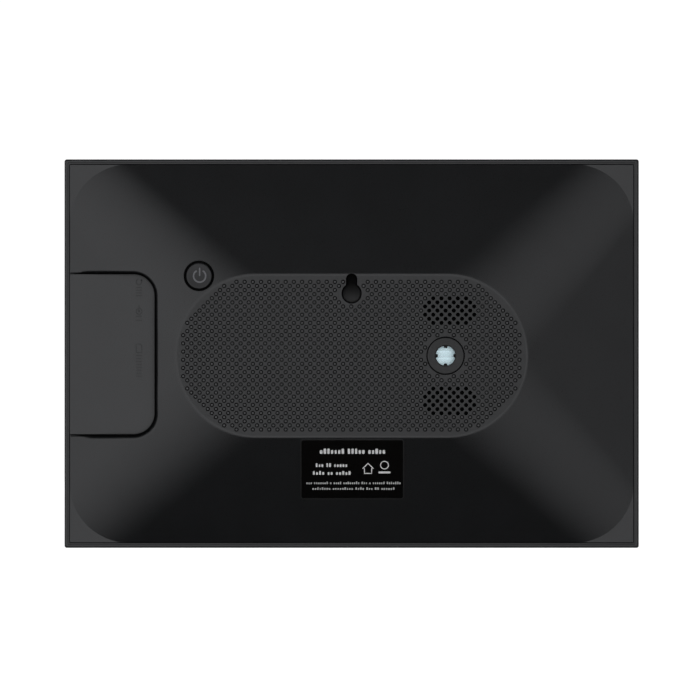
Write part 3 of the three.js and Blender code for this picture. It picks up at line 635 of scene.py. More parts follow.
def add_inner_face(skin, keyhole):
    """The shell's inside, and the underside of the recess floor."""
    wall = recess_path(WALL, INNER_BOTTOM_RING[0])
    flat = Flat(np.vstack([skirt_edge(), wall]))
    for share in (0.0, 1.0):
        ring = level_line(share, INNER_BOTTOM_RING, INNER_TOP_RING)
        clear = recess_distance(*ring.T, WALL) > LINE_GAP
        clear &= outline_inset(*ring.T) > SKIRT_WALL + LINE_GAP
        clear &= keyhole_distance(*ring.T) > LINE_GAP
        flat.runs(ring, clear)
    for number, (x, z, r, _, sides) in enumerate(ROUND_HOLES, 1):
        flat.hole(circle(x, z, r, sides), number)
    flat.line(keyhole, closed=True)
    skin.height(*flat.triangles([keyhole]), inner_height, up=-1)
    low, high = [(BOTTOM_RING[0] - SKIRT_WALL, z) for z in INNER_RECESS_Z]
    under = Flat(np.vstack([[low], wall, [high]]))
    skin.height(*under.triangles(), underside_height, up=-1)


def add_walls(skin, keyhole, keyhole_inside):
    """Walls of the holes through the back and of the recess with its ports."""
    for x, z, r, _, sides in ROUND_HOLES:
        hole = circle(x, z, r, sides)
        inward = np.column_stack([x - hole[:, 0], np.zeros(sides), z - hole[:, 1]]) / r
        skin.bridge(over(hole, back_height), over(hole, inner_height), inward)
    drafted = -outward(keyhole)
    drafted[:, 1] = KEYHOLE_DRAFT / WALL
    skin.bridge(over(keyhole, back_height), over(keyhole_inside, inner_height), drafted)
    outer_rims = add_port_wall(skin, 0, back_height, floor_height, 1)
    inner_rims = add_port_wall(skin, WALL, inner_height, underside_height, -1)
    for outer_rim, inner_rim in zip(outer_rims, inner_rims):
        toward = outer_rim.mean(axis=0) - outer_rim
        toward[:, 0] = 0
        skin.bridge(outer_rim, inner_rim, toward / np.linalg.norm(toward, axis=1, keepdims=True))


def add_skirt(skin):
    """The upright edge of the casing that goes into the front frame."""
    outside, inside = outer_edge(), skirt_edge()
    skin.bridge(over(outside, floor_height), lift(outside, SKIRT_FRONT_Y), outward(outside))
    skin.bridge(over(inside, underside_height), lift(inside, SKIRT_FRONT_Y), -outward(inside))
    front = Flat(outside)
    front.hole(inside, 1)
    coords, faces = front.triangles()
    skin.add(lift(coords, SKIRT_FRONT_Y)[faces], np.broadcast_to([0.0, -1.0, 0.0], (len(faces), 3, 3)))


def rear_shell():
    keyhole, keyhole_inside = keyhole_outline(), keyhole_outline(-KEYHOLE_DRAFT)
    skin = Skin()
    add_outer_face(skin, keyhole)
    add_bumps(skin)
    add_recess_floor(skin)
    add_inner_face(skin, keyhole_inside)
    add_walls(skin, keyhole, keyhole_inside)
    add_skirt(skin)
    return skin.mesh()


# ---- meshes from rings and outlines

def finished(mesh, sharp_angle=32):
    """Smooth faces with sharp edges where the surface turns by more than the angle."""
    mesh.shade_smooth()
    mesh.set_sharp_from_angle(angle=math.radians(sharp_angle))
    return mesh


def ring_mesh(rings, wrap=False):
    """Closed mesh through rings of as many points each; wrap joins the last ring to the first."""
    rings = [np.asarray(ring, float) for ring in rings]
    count = len(rings[0])
    faces = []
    pairs = list(zip(range(len(rings)), range(1, len(rings))))
    if wrap:
        pairs.append((len(rings) - 1, 0))
    for first, second in pairs:
        for i in range(count):
            j = (i + 1) % count
            faces.append((first * count + i, first * count + j, second * count + j, second * count + i))
    if not wrap:
        faces.append(tuple(range(count)))
        faces.append(tuple((len(rings) - 1) * count + i for i in range(count)))
    mesh = bpy.data.meshes.new("mesh")
    mesh.from_pydata((np.concatenate(rings) * MM).tolist(), [], faces)
    work = bmesh.new()
    work.from_mesh(mesh)
    bmesh.ops.recalc_face_normals(work, faces=work.faces)
    work.to_mesh(mesh)
    work.free()
    return finished(mesh)


def lathe(x, z, profile, sides):
    """Turned hollow body about an axis along Y, through (radius, y) points."""
    return ring_mesh([lift(circle(x, z, r, sides), y) for r, y in profile], wrap=True)


SOFT_STEP = 0.3
SLAB_SHARP_ANGLE = 12


def slab(outline, low, high, place, soft=0.0):
    """Plate whose upper edge is rounded by soft; place(points, height) puts flat points into space."""
    outline = np.asarray(outline, float)
    inward = np.column_stack([-outward(outline)[:, 0], -outward(outline)[:, 2]])
    area = outline[:, 0] * np.roll(outline[:, 1], -1) - outline[:, 1] * np.roll(outline[:, 0], -1)
    if area.sum() < 0:
        inward = -inward
    rings = [place(outline, low), place(outline, high - soft)]
    if soft:
        part = soft * SOFT_STEP
        rings += [place(outline + inward * part, high - part), place(outline + inward * soft, high)]
    return finished(ring_mesh(rings), SLAB_SHARP_ANGLE)


def joined(meshes):
    """One mesh out of several closed ones that stand apart."""
    work = bmesh.new()
    for mesh in meshes:
        work.from_mesh(mesh)
        bpy.data.meshes.remove(mesh)
    mesh = bpy.data.meshes.new("mesh")
    work.to_mesh(mesh)
    work.free()
    return mesh


def linked(name, data):
    piece = bpy.data.objects.new(name, data)
    bpy.context.scene.collection.objects.link(piece)
    return piece


def show(name, mesh, body, materials, stands_for=()):
    """One visible piece on a body and with the CAD nodes that it stands for."""
    mesh.name = name
    piece = linked(name, mesh)
    for material in materials:
        mesh.materials.append(material)
    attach(piece, body)
    if stands_for:
        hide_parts(*stands_for)
    if not mesh.has_custom_normals:
        weighted = piece.modifiers.new("even_shading", "WEIGHTED_NORMAL")
        weighted.keep_sharp = True
    return piece


def paint(piece, index, chosen):
    """Gives the faces that pass the test chosen(centre, face) another of the piece's materials."""
    for face in piece.data.polygons:
        if chosen(face.center / MM, face):
            face.material_index = index


def stroke(points, width, steps=6):
    """Outline of a thin line with round ends through flat points."""
    points = np.asarray(points, float)
    ahead = np.gradient(points, axis=0)
    ahead = ahead / np.linalg.norm(ahead, axis=1, keepdims=True)
    side = np.column_stack([-ahead[:, 1], ahead[:, 0]]) * width / 2
    left, right = points + side, (points - side)[::-1]

    def end(centre, direction):
        start = math.atan2(direction[1], direction[0]) + math.pi / 2
        angles = [start - math.pi * k / steps for k in range(1, steps)]
        return [centre + width / 2 * np.array([math.cos(a), math.sin(a)]) for a in angles]

    return np.array([*left, *end(points[-1], ahead[-1]), *right, *end(points[0], -ahead[0])])


def arc_points(x, z, r, start, stop, steps=24):
    angles = np.radians(np.linspace(start, stop, steps + 1))
    return np.column_stack([x + r * np.cos(angles), z + r * np.sin(angles)])


# ---- materials

def new_material(name):
    material = bpy.data.materials.new(name)
    material.use_nodes = True
    tree = material.node_tree
    tree.nodes.clear()
    shader = tree.nodes.new("ShaderNodeBsdfPrincipled")
    add_node(tree, "ShaderNodeOutputMaterial", Surface=shader.outputs["BSDF"])
    return material, tree, shader


def fill_sockets(tree, node, sockets):
    """Sets each named socket of a node to a value, or links it to another node's output."""
    for name, value in sockets.items():
        socket = node.inputs[name.replace("_", " ")]
        if isinstance(value, bpy.types.NodeSocket):
            tree.links.new(value, socket)
        else:
            socket.default_value = value


def add_node(tree, kind, **sockets):
    node = tree.nodes.new(kind)
    fill_sockets(tree, node, sockets)
    return node


def object_noise(tree, scale, detail=3.0, roughness=0.5, stretch=(1, 1, 1)):
    """Noise fixed to the object, with scale in cells per metre."""
    place = tree.nodes.new("ShaderNodeTexCoord").outputs["Object"]
    mapping = add_node(tree, "ShaderNodeMapping", Vector=place, Scale=stretch)
    noise = add_node(tree, "ShaderNodeTexNoise", Vector=mapping.outputs["Vector"], Scale=scale, Detail=detail,
                     Roughness=roughness)
    return noise.outputs["Fac"]


def ramp(tree, value, low, high, *colors):
    node = add_node(tree, "ShaderNodeValToRGB", Fac=value)
    for element, position, color in zip(node.color_ramp.elements, (low, high), colors):
        element.position = position
        element.color = (*color, 1)
    return node.outputs["Color"]


def spread(tree, value, low, high, value_low=0.3, value_high=0.7):
    node = add_node(tree, "ShaderNodeMapRange", Value=value, From_Min=value_low, From_Max=value_high,
                    To_Min=low, To_Max=high)
    return node.outputs["Result"]


def bump(tree, value, depth):
    return add_node(tree, "ShaderNodeBump", Strength=1.0, Distance=depth, Height=value).outputs["Normal"]


def surface(name, dark, light, rough, grain, depth, patch=60, metallic=0.0, stretch=(1, 1, 1), **sockets):
    """Colour and gloss that vary in soft patches, with a fine grain on top, its depth in micrometres."""
    material, tree, shader = new_material(name)
    color = ramp(tree, object_noise(tree, patch), 0.35, 0.65, dark, light)
    fine = object_noise(tree, grain, 2.0, 0.6, stretch)
    sockets |= {"Base Color": color, "Roughness": spread(tree, fine, *rough), "Metallic": metallic,
                "Normal": bump(tree, fine, depth * MICROMETRE)}
    fill_sockets(tree, shader, sockets)
    return material


COVER = surface(
    "cover_satin_black", (0.004, 0.0042, 0.0047), (0.0052, 0.0054, 0.0061), (0.27, 0.32), 5200, 4)
PLATE = surface(
    "plate_matt_black", (0.0034, 0.0036, 0.004), (0.0046, 0.0048, 0.0054), (0.35, 0.41), 5200, 8)
# Painted highlight: lighter and glossier than the plate, for the bumps' tops.
BUMP_TOP_HIGHLIGHT = surface(
    "bump_top_painted_highlight", (0.0085, 0.0088, 0.0096), (0.0125, 0.0128, 0.0138), (0.25, 0.32), 5200, 4,
    Specular_IOR_Level=0.62)
RIM = surface("rim_satin_black", (0.0042, 0.0044, 0.0048), (0.0055, 0.0057, 0.0062), (0.3, 0.36), 5200, 5)
KEY = surface("key_satin_black", (0.006, 0.006, 0.0072), (0.008, 0.008, 0.0095), (0.34, 0.42), 4200, 8)
SYMBOL = surface("key_symbol_grey", (0.105, 0.105, 0.113), (0.135, 0.135, 0.145), (0.3, 0.4), 4200, 4)
SOCKET_GREY = surface(
    "socket_satin_grey", (0.0062, 0.0062, 0.0064), (0.0085, 0.0085, 0.0087), (0.4, 0.48), 4200, 6)
# Painted shade: darker and less glossy than the cover, for the recess's wall and rounding, the bumps' sides
# and the socket's tabs, where shade falls.
PAINTED_EDGE_SHADE = surface(
    "painted_edge_shade_black", (0.0016, 0.0016, 0.0017), (0.0024, 0.0024, 0.0025), (0.38, 0.46), 5200, 4,
    Specular_IOR_Level=0.2)
# Painted deep shade: near-black and barely glossy, for the keyhole's wall, the button's stem and the socket's
# flange, which lie in shade.
PAINTED_DEEP_SHADE = surface(
    "painted_deep_shade_black", (0.0012, 0.0012, 0.0013), (0.002, 0.002, 0.0021), (0.55, 0.7), 3600, 10,
    Specular_IOR_Level=0.15)
SIGN_GREY = surface(
    "sign_dull_black", (0.0034, 0.0035, 0.0038), (0.0046, 0.0047, 0.005), (0.36, 0.44), 3600, 10,
    Specular_IOR_Level=0.4)
LABEL_FILM = surface(
    "label_gloss_black", (0.0012, 0.0009, 0.0008), (0.0018, 0.0014, 0.0012), (0.16, 0.22), 3000, 1,
    Specular_IOR_Level=0.35)
LABEL_EDGE = surface("label_clear_edge", (0.01, 0.01, 0.0098), (0.013, 0.013, 0.0126), (0.3, 0.4), 3000, 2)
LABEL_INK = surface(
    "label_pale_ink", (0.62, 0.62, 0.61), (0.76, 0.76, 0.75), (0.45, 0.6), 6000, 2, patch=1500)
LABEL_FAINT_INK = surface(
    "label_faint_ink", (0.38, 0.38, 0.37), (0.52, 0.52, 0.51), (0.45, 0.6), 6000, 2, patch=1500)
PRINT_BLACK = surface(
    "printed_border", (0.0022, 0.0022, 0.0024), (0.003, 0.003, 0.0033), (0.3, 0.4), 4000, 1,
    Specular_IOR_Level=0.03)
GLASS = surface(
    "clear_glass", (0.95, 0.97, 0.97), (0.97, 0.99, 0.99), (0.01, 0.03), 400, 0.2, Transmission_Weight=1.0,
    IOR=1.5)

POCKET_LOW_Z, POCKET_HIGH_Z = 0.1105, 0.1175


def pocket_look():
    """Dull black with painted shade: its gloss dies away towards the narrow upper end of the keyhole, which
    gets little light.
    """
    material, tree, shader = new_material("keyhole_floor_painted_shade")
    place = tree.nodes.new("ShaderNodeTexCoord").outputs["Object"]
    height = add_node(tree, "ShaderNodeSeparateXYZ", Vector=place).outputs["Z"]
    fine = object_noise(tree, 3600, 2.0, 0.6)
    color = ramp(tree, fine, 0.35, 0.65, (0.0012, 0.0012, 0.0012), (0.0018, 0.0018, 0.0018))
    painted_gloss_shade = {socket: spread(tree, height, low, high, POCKET_LOW_Z, POCKET_HIGH_Z)
             for socket, low, high in (("Roughness", 0.42, 0.60), ("Specular IOR Level", 0.36, 0.08))}
    fill_sockets(tree, shader, {"Base Color": color, "Normal": bump(tree, fine, 6 * MICROMETRE), **painted_gloss_shade})
    return material


KEYHOLE_FLOOR = pocket_look()

SLOT_LOOKS = {
    "cover_plastic": COVER,
    "frame_plastic": RIM,
    "socket_plastic": SOCKET_GREY,
    "dark_plastic": surface(
        "dark_moulding", (0.004, 0.004, 0.0045), (0.007, 0.007, 0.0075), (0.4, 0.52), 3600, 10),
    "white_plastic": surface("white_moulding", (0.6, 0.61, 0.62), (0.68, 0.69, 0.7), (0.35, 0.45), 2600, 6),
    "screen_glass": GLASS,
    "display_cell": surface(
        "polariser_black", (0.004, 0.0042, 0.0052), (0.0052, 0.0055, 0.0066), (0.1, 0.16), 1500, 1,
        Specular_IOR_Level=0.12),
    "display_metal": surface(
        "panel_bright_metal", (0.42, 0.53, 0.56), (0.5, 0.62, 0.65), (0.2, 0.28), 1800, 2, metallic=1.0,
        stretch=(0.04, 1, 1)),
    "sheet_metal": surface(
        "sheet_steel", (0.5, 0.51, 0.52), (0.58, 0.59, 0.6), (0.28, 0.4), 2400, 3, metallic=1.0,
        stretch=(0.06, 1, 1)),
    "fastener_steel": surface(
        "screw_steel", (0.42, 0.42, 0.43), (0.52, 0.52, 0.53), (0.25, 0.38), 5000, 4, metallic=1.0),
    "circuit_board": surface(
        "board_green", (0.008, 0.045, 0.022), (0.012, 0.062, 0.03), (0.25, 0.4), 1800, 8, patch=300),
    "chip_resin": surface("chip_resin", (0.01, 0.01, 0.011), (0.018, 0.018, 0.019), (0.45, 0.6), 5200, 10),
    "flex_film": surface("flex_amber", (0.25, 0.1, 0.02), (0.34, 0.15, 0.03), (0.22, 0.34), 1200, 4),
    "contact_brass": surface(
        "contact_brass", (0.55, 0.38, 0.15), (0.66, 0.48, 0.2), (0.2, 0.32), 3000, 3, metallic=1.0),
    "label_film": LABEL_FILM,
    "foam_tape": surface("foam_tape", (0.008, 0.008, 0.008), (0.016, 0.016, 0.016), (0.8, 0.95), 2200, 40),
    "speaker_paper": surface(
        "cone_paper", (0.0014, 0.0014, 0.0014), (0.0024, 0.0024, 0.0024), (0.7, 0.85), 2400, 30,
        Specular_IOR_Level=0.1),
    "wire_jacket": surface(
        "wire_jacket", (0.006, 0.006, 0.006), (0.011, 0.011, 0.011), (0.35, 0.5), 2000, 10),
}

for part in frame["record"]["subparts"]:
    node = frame["nodes"][part["node"]]
    look = KEYHOLE_FLOOR if part["node"] == "keyhole_pocket" else SLOT_LOOKS[part["material_slot"]]
    for material_slot in node.material_slots:
        material_slot.material = look


# ---- casing

SHELL_LOOKS = [COVER, PLATE, PAINTED_EDGE_SHADE, BUMP_TOP_HIGHLIGHT, PAINTED_DEEP_SHADE]
PLATE_INDEX, EDGE_SHADE_INDEX, HIGHLIGHT_INDEX, DEEP_SHADE_INDEX = 1, 2, 3, 4
BUMP_TOP_Y = PLATEAU_Y + 0.9 * BUMP_RISE
KEYHOLE_WALL_Y = 8.75


def shell_materials(x, y, z):
    """Number of the material of each of the shell's faces, from the faces' centres."""
    on_plateau = (rect_distance(x, z, *TOP_RING) < -PLATE_BORDER) & (y > PLATEAU_Y - 1)
    from_recess = recess_distance(x, z)
    # Painted shade on the recess's wall and the inner part of its rounding.
    shaded_rounding = (from_recess > -0.01) & (from_recess < PAINTED_SHADE_SHARE * recess_fillet(z)) & (y > EDGE_Y + 0.01)
    in_keyhole = keyhole_distance(x, z) < 0.5 * KEYHOLE_FILLET
    numbers = np.where(on_plateau, PLATE_INDEX, 0)
    numbers[shaded_rounding] = EDGE_SHADE_INDEX
    # Painted shade on the bumps' sides.
    numbers[on_plateau & (bump_height(x, z) > 0.002) & (y < BUMP_TOP_Y)] = EDGE_SHADE_INDEX
    # Painted deep shade on the keyhole's wall and the inner half of its rounding.
    numbers[in_keyhole & (y > KEYHOLE_WALL_Y)] = DEEP_SHADE_INDEX
    # Painted highlight on the bumps' tops.
    numbers[on_plateau & (y > BUMP_TOP_Y)] = HIGHLIGHT_INDEX
    return numbers.astype(np.int32)


shell = show("rear_shell", rear_shell(), "casing", SHELL_LOOKS, ["rear_cover"])
face_centres = np.empty(len(shell.data.polygons) * 3)
shell.data.polygons.foreach_get("center", face_centres)
material_numbers = shell_materials(*(face_centres.reshape(-1, 3) / MM).T)
shell.data.polygons.foreach_set("material_index", material_numbers)

HALF_X, HALF_Z = 127.5, 86.25
RIM_WALL = 1.6
LEDGE_X, LEDGE_Z = 110.5, 70
TO_LEDGE = HALF_X - LEDGE_X
RIM_PROFILE = (
    (0.0, -11.55), (0.1, -11.8), (0.35, -11.9), (1.35, -11.9), (1.6, -11.75), (1.6, -10.5),
    (TO_LEDGE, -10.5), (TO_LEDGE, -9.0),
    (1.6, -9.0), (1.6, -2.4), (2.1, -2.4), (2.1, -1.6), (2.05, -1.55), (1.6, -1.55),
    (1.6, -1.3), (1.52, -1.08), (1.3, -1.0), (0.6, -1.0), (0.2, -1.13), (0.05, -1.3), (0.0, -1.5),
)


def rim_ring(inset, y):
    """Rounded rectangle of the rim at an inset from its outside, or round the ledge that holds the glass."""
    if inset == TO_LEDGE:
        return lift(rounded_rect(LEDGE_X, LEDGE_Z, MID_Z, 1.0, 6), y)
    r = 1.0 - 0.4 * min(inset / RIM_WALL, 1)
    return lift(rounded_rect(HALF_X - inset, HALF_Z - inset, MID_Z, r, 6), y)


rim = ring_mesh([rim_ring(inset, y) for inset, y in RIM_PROFILE], wrap=True)
show("frame_rim", rim, "casing", [RIM], ["front_frame"])

GLASS_X, GLASS_Z = 125.7, 84.45
GLASS_BACK_Y = -10.83
WINDOW_X, WINDOW_Z = 109.0, 68.5
GLASS_PROFILE = ((0.25, -12.0), (0.07, -11.93), (0.0, -11.75), (0.0, GLASS_BACK_Y))
glass_rings = [lift(rounded_rect(GLASS_X - inset, GLASS_Z - inset, MID_Z, 0.8 - inset, 6), y)
               for inset, y in GLASS_PROFILE]
glass_rings.append(lift(rounded_rect(WINDOW_X, WINDOW_Z, MID_Z, 0.5, 6), GLASS_BACK_Y))
glass = show("glass_panel", ring_mesh(glass_rings), "casing",
             [GLASS, PRINT_BLACK], ["touch_glass"])


def is_print(centre, face):
    outside_window = abs(centre.x) > WINDOW_X or abs(centre.z - MID_Z) > WINDOW_Z
    return abs(centre.y - GLASS_BACK_Y) < 0.01 and len(face.vertices) == 4 and outside_window


paint(glass, 1, is_print)


def boss(x, z, outer, inner, low):
    """Tube under the shell whose upper end follows the shell's inside."""
    outside, inside = circle(x, z, outer, 32), circle(x, z, inner, 32)
    rings = [lift(outside, low), over(outside, inner_height), over(inside, inner_height), lift(inside, low)]
    return ring_mesh(rings, wrap=True)


SCREW_BOSS = (2.5, 1.1)
SPEAKER_EAR_X = 19.7
SOCKET_EAR_X = 12.4
BOSS_END_Y = 6.5
BOARD_BOSS_END_Y = -1
EAR_PLACES = [(SPEAKER_X + side * SPEAKER_EAR_X, z) for z in SPEAKER_ZS for side in (-1, 1)]
EAR_PLACES += [(SOCKET[0] + side * SOCKET_EAR_X, SOCKET[1]) for side in (-1, 1)]
BOARD_SCREWS = ((12, 70), (12, 123.5), (52, 70), (79.5, 123.4))
bosses = [boss(*place, *SCREW_BOSS, BOSS_END_Y) for place in EAR_PLACES]
bosses += [boss(*place, *SCREW_BOSS, BOARD_BOSS_END_Y) for place in BOARD_SCREWS]
bosses.append(boss(*BUTTON, 9, BUTTON_HOLE_R, 6.2))
show("shell_bosses", joined(bosses), "casing", [COVER], ["rear_cover"])


# ---- power button

KEY_R = 5.65
KEY_PROUD = 0.35
KEY_DISH = 0.22
KEY_WAVE = 0.02
SYMBOL_X = -0.3


def key_height(x, z):
    """Height of the cap's dished face, which leans with the dome."""
    share = reach(x, z, BUTTON) / KEY_R
    return dome_height(x, z) + KEY_PROUD - KEY_DISH * np.maximum(1 - share ** 2, 0)


KEY_SIDES = 64
KEY_EDGE = ((0.23, 0.01), (0.11, 0.05), (0.03, 0.13), (0, 0.22))
KEY_STEM = ((KEY_R, 5.9), (7.8, 5.9), (8.0, 5.7), (8.0, 4.9), (1.8, 4.9), (1.8, 4.15), (1.7, 4.1),
            (0.02, 4.1))
SYMBOL_FOOT, SYMBOL_TOP = -0.15, 0.07


def key_rings():
    """Rings of the turned cap face, then of its edge, then down the stem."""
    rings = []
    for number, r in enumerate(np.linspace(0.02, 5.1, 14)):
        ring = circle(*BUTTON, r, KEY_SIDES)
        rings.append(lift(ring, key_height(*ring.T) + KEY_WAVE * (-1) ** number))
    for inset, drop in KEY_EDGE:
        ring = circle(*BUTTON, KEY_R - inset, KEY_SIDES)
        rings.append(lift(ring, key_height(*ring.T) - drop))
    return rings + [lift(circle(*BUTTON, r, KEY_SIDES), y) for r, y in KEY_STEM]


def on_key(points, height):
    x, z = points[:, 0] + BUTTON[0], points[:, 1] + BUTTON[1]
    return np.column_stack([x, key_height(x, z) + height, z])


def is_stem(centre, face):
    return reach(centre.x, centre.z, BUTTON) > KEY_R - 0.02 or face.normal.y < -0.5


# The stem and the cap's underside, seen down the gap round the cap, get the painted deep shade.
power_key = show("power_key", ring_mesh(key_rings()), "power_button", [KEY, PAINTED_DEEP_SHADE],
                 ["power_button"])
paint(power_key, 1, is_stem)
symbol_lines = [(arc_points(SYMBOL_X, -0.1, 2.7, 126, 414), 0.72),
                ([(SYMBOL_X, at) for at in (0.2, 0.9, 1.7, 2.5, 3.3)], 0.6)]
symbol = joined([slab(stroke(points, width), SYMBOL_FOOT, SYMBOL_TOP, on_key, 0.05)
                 for points, width in symbol_lines])
show("power_symbol", symbol, "power_button", [SYMBOL])


# ---- stand socket

SOCKET_PROFILE = (
    (6.3, 2.2), (6.5, 2.0), (7.9, 2.0), (8.1, 2.2), (8.1, 8.4), (9.3, 8.4), (9.4, 8.5), (9.4, 9.3),
    (9.3, 9.4), (8.1, 9.4), (8.1, 11.5), (8.03, 11.67), (7.85, 11.75),
    (7.3, 11.75), (7.15, 11.72), (7.0, 11.75), (6.5, 11.75), (6.35, 11.72), (6.2, 11.75),
    (5.7, 11.75), (5.55, 11.72), (5.4, 11.75), (4.72, 11.75), (4.5, 11.66), (4.38, 11.45), (4.35, 11.2),
    (4.35, 9.55), (6.3, 9.55),
)
SOCKET_WALL_R = 8.05
TAB_LOW_Y, TAB_HIGH_Y = 9.55, 10.95
EAR_R, EAR_HOLE_R, EAR_ROOT_X = 2.8, 1.25, 7.2
EAR_LOW_Y, EAR_HIGH_Y = 5.0, 6.5
TAB_OUTLINE = ((4.7, 0.95), (4.3, 0.9), (3.56, 0.62), (3.44, 0.48), (3.4, 0.25),
               (3.4, -0.25), (3.44, -0.48), (3.56, -0.62), (4.3, -0.9), (4.7, -0.95))
# The flange outside the socket's wall, seen down the gap round the ring, gets the painted deep shade.
socket_ring = show("socket_ring", lathe(*SOCKET, SOCKET_PROFILE, 72), "casing",
                   [SOCKET_GREY, PAINTED_DEEP_SHADE], ["stand_socket"])
paint(socket_ring, 1, lambda centre, _: reach(centre.x, centre.z, SOCKET) > SOCKET_WALL_R)


def tab(quarter):
    """Key of the socket's hole at one of its four quarters."""
    angle = quarter * math.pi / 2
    ahead = np.array([math.cos(angle), math.sin(angle)])
    aside = np.array([-ahead[1], ahead[0]])
    outline = [np.array(SOCKET) + along * ahead + side * aside for along, side in TAB_OUTLINE]
    return slab(outline, TAB_LOW_Y, TAB_HIGH_Y, lift, 0.15)


# The tabs get the painted edge shade, as if in shade down in the hole.
show("socket_tabs", joined([tab(quarter) for quarter in range(4)]), "casing", [PAINTED_EDGE_SHADE],
     ["stand_socket"])


def ear_outline(side):
    """Outline of one ear, from inside the socket's wall out to its round end."""
    middle = 90 * (1 - side)
    end = arc_points(SOCKET[0] + side * SOCKET_EAR_X, SOCKET[1], EAR_R, middle - 90, middle + 90, 16)
    root = SOCKET[0] + side * EAR_ROOT_X
    return np.vstack([end, [(root, end[-1][1]), (root, end[0][1])]])


def plate_with_hole(outline, hole, low, high):
    """Flat plate facing the back with a round hole through it."""
    skin = Skin()
    flat = Flat(outline)
    flat.hole(hole, 1)
    coords, faces = flat.triangles()
    for y, up in ((high, 1.0), (low, -1.0)):
        skin.add(lift(coords, y)[faces], np.broadcast_to([0.0, up, 0.0], (len(faces), 3, 3)))
    for loop, sign in ((outline, 1), (hole, -1)):
        skin.bridge(lift(loop, low), lift(loop, high), outward(loop, sign))
    return skin.mesh()


ears = []
for side in (-1, 1):
    screw_hole = circle(SOCKET[0] + side * SOCKET_EAR_X, SOCKET[1], EAR_HOLE_R, 16)
    ears.append(plate_with_hole(ear_outline(side), screw_hole, EAR_LOW_Y, EAR_HIGH_Y))
show("socket_ears", joined(ears), "casing", [SOCKET_GREY], ["stand_socket"])


# ---- label

LABEL = (-0.25, 35.05, 45.9, 26.6)
LABEL_MARGIN = 0.42
FILM_HEIGHTS, GROUND_HEIGHTS, INK_HEIGHTS = (0.01, 0.12), (0.10, 0.13), (0.12, 0.145)
FOOT_Z = BOTTOM_RING[2] - BOTTOM_RING[1]
TILT = math.atan2(DOME_RISE, TOP_RING[2] - TOP_RING[1] - FOOT_Z)


def on_slope(points, height):
    """Flat points, seen as from behind, laid on the slope under the plateau at a height above it."""
    x, up = -points[:, 0], points[:, 1]
    centre_y = EDGE_Y + (LABEL[1] - FOOT_Z) * math.tan(TILT)
    y = centre_y + up * math.sin(TILT) + height * math.cos(TILT)
    z = LABEL[1] + up * math.cos(TILT) - height * math.sin(TILT)
    return np.column_stack([LABEL[0] + x, y, z])


label_half = LABEL[2] / 2, LABEL[3] / math.cos(TILT) / 2
film = slab(rounded_rect(*label_half, 0, 1.2, 8), *FILM_HEIGHTS, on_slope, 0.05)
show("label_film", film, "casing", [LABEL_EDGE], ["rating_label"])
printed = rounded_rect(label_half[0] - LABEL_MARGIN, label_half[1] - LABEL_MARGIN, 0, 1.0, 8)
ground = slab(printed, *GROUND_HEIGHTS, on_slope, 0.01)
show("label_ground", ground, "casing", [LABEL_FILM])


def bar(x0, x1, z, width):
    return stroke(np.column_stack([np.linspace(x0, x1, 5), np.full(5, z)]), width, 4)


def block_mark(x, z, width, height):
    """Small rounded block in place of one letter."""
    return rounded_rect(width / 2, height / 2, z, 0.3 * min(width, height), 2, x)


WORD_GAP = 0.7
TALL_CHANCE = 0.35
LOW_BLOCK = 0.72


def word_row(x0, x1, z, height, lengths, seed):
    """Row of plain blocks in place of words, some of them tall, with a gap between words."""
    rng = np.random.default_rng(seed)
    pitch = (x1 - x0) / (sum(lengths) + WORD_GAP * (len(lengths) - 1))
    outlines = []
    at = x0
    for length in lengths:
        for _ in range(length):
            tall = 1.0 if rng.random() < TALL_CHANCE else LOW_BLOCK
            width = pitch * rng.uniform(0.55, 0.74)
            outlines.append(block_mark(at + pitch / 2, z + (tall - 1) * height / 2, width, tall * height))
            at += pitch
        at += WORD_GAP * pitch
    return outlines


def house_mark(x, z, size):
    """Plain outline of a house: for indoor use."""
    half = size / 2
    wall_x = 0.7 * half
    roof = [(-half, 0), (-half / 2, half / 2), (0, half), (half / 2, half / 2), (half, 0)]
    walls = [(-wall_x, -0.1), (-wall_x, -half / 2), (-wall_x, -half), (0, -half),
             (wall_x, -half), (wall_x, -half / 2), (wall_x, -0.1)]
    return [stroke(np.array(line) + (x, z), 0.42, 4) for line in (roof, walls)]


marks = word_row(-14.5, 14.8, 8.3, 2.4, (7, 5, 5), 1)
marks += word_row(-16.4, -2.0, 1.9, 1.75, (3, 2, 5), 2)
marks += word_row(-17.7, -0.5, -1.7, 1.75, (4, 2, 5), 3)
marks += house_mark(7.0, 0.4, 4.6)
marks += [bar(12.0, 16.6, -1.45, 0.9)]
marks += [stroke(arc_points(14.3, 1.9, 1.75, 0, 352, 28), 0.4, 4)]
small = word_row(-20.5, 21.6, -6.3, 1.15, (3, 7, 1, 4, 8, 3, 1, 6, 7), 4)
small += word_row(-17.8, 18.9, -8.9, 1.15, (8, 9, 4, 3, 2, 6), 5)
for name, outlines, ink in (("label_print", marks, LABEL_INK), ("label_small_print", small, LABEL_FAINT_INK)):
    print_mesh = joined([slab(outline, *INK_HEIGHTS, on_slope) for outline in outlines])
    show(name, print_mesh, "casing", [ink])


# ---- port signs on the recess floor

SIGN_X = 94.4
SIGN_WIDTH = 0.36


def on_floor(points, height):
    """Flat points, seen as from behind and turned a quarter to read from above, on the recess floor."""
    return np.column_stack([SIGN_X - points[:, 1], np.full(len(points), EDGE_Y + height), points[:, 0]])


def upright_strokes(start, stop, count):
    """Thin upright strokes beside a sign, in place of a word."""
    places = np.linspace(start, stop, count)
    return [stroke([(at, -1.2), (at, 0), (at, 1.2)], 0.34, 4) for at in places]


def reset_sign(z):
    turn = stroke(arc_points(z, 0, 1.25, 50, 350), SIGN_WIDTH, 4)
    head = np.array([(z + 0.35, 1.75), (z + 1.3, 1.25), (z + 0.45, 0.55)])
    return [turn, head]


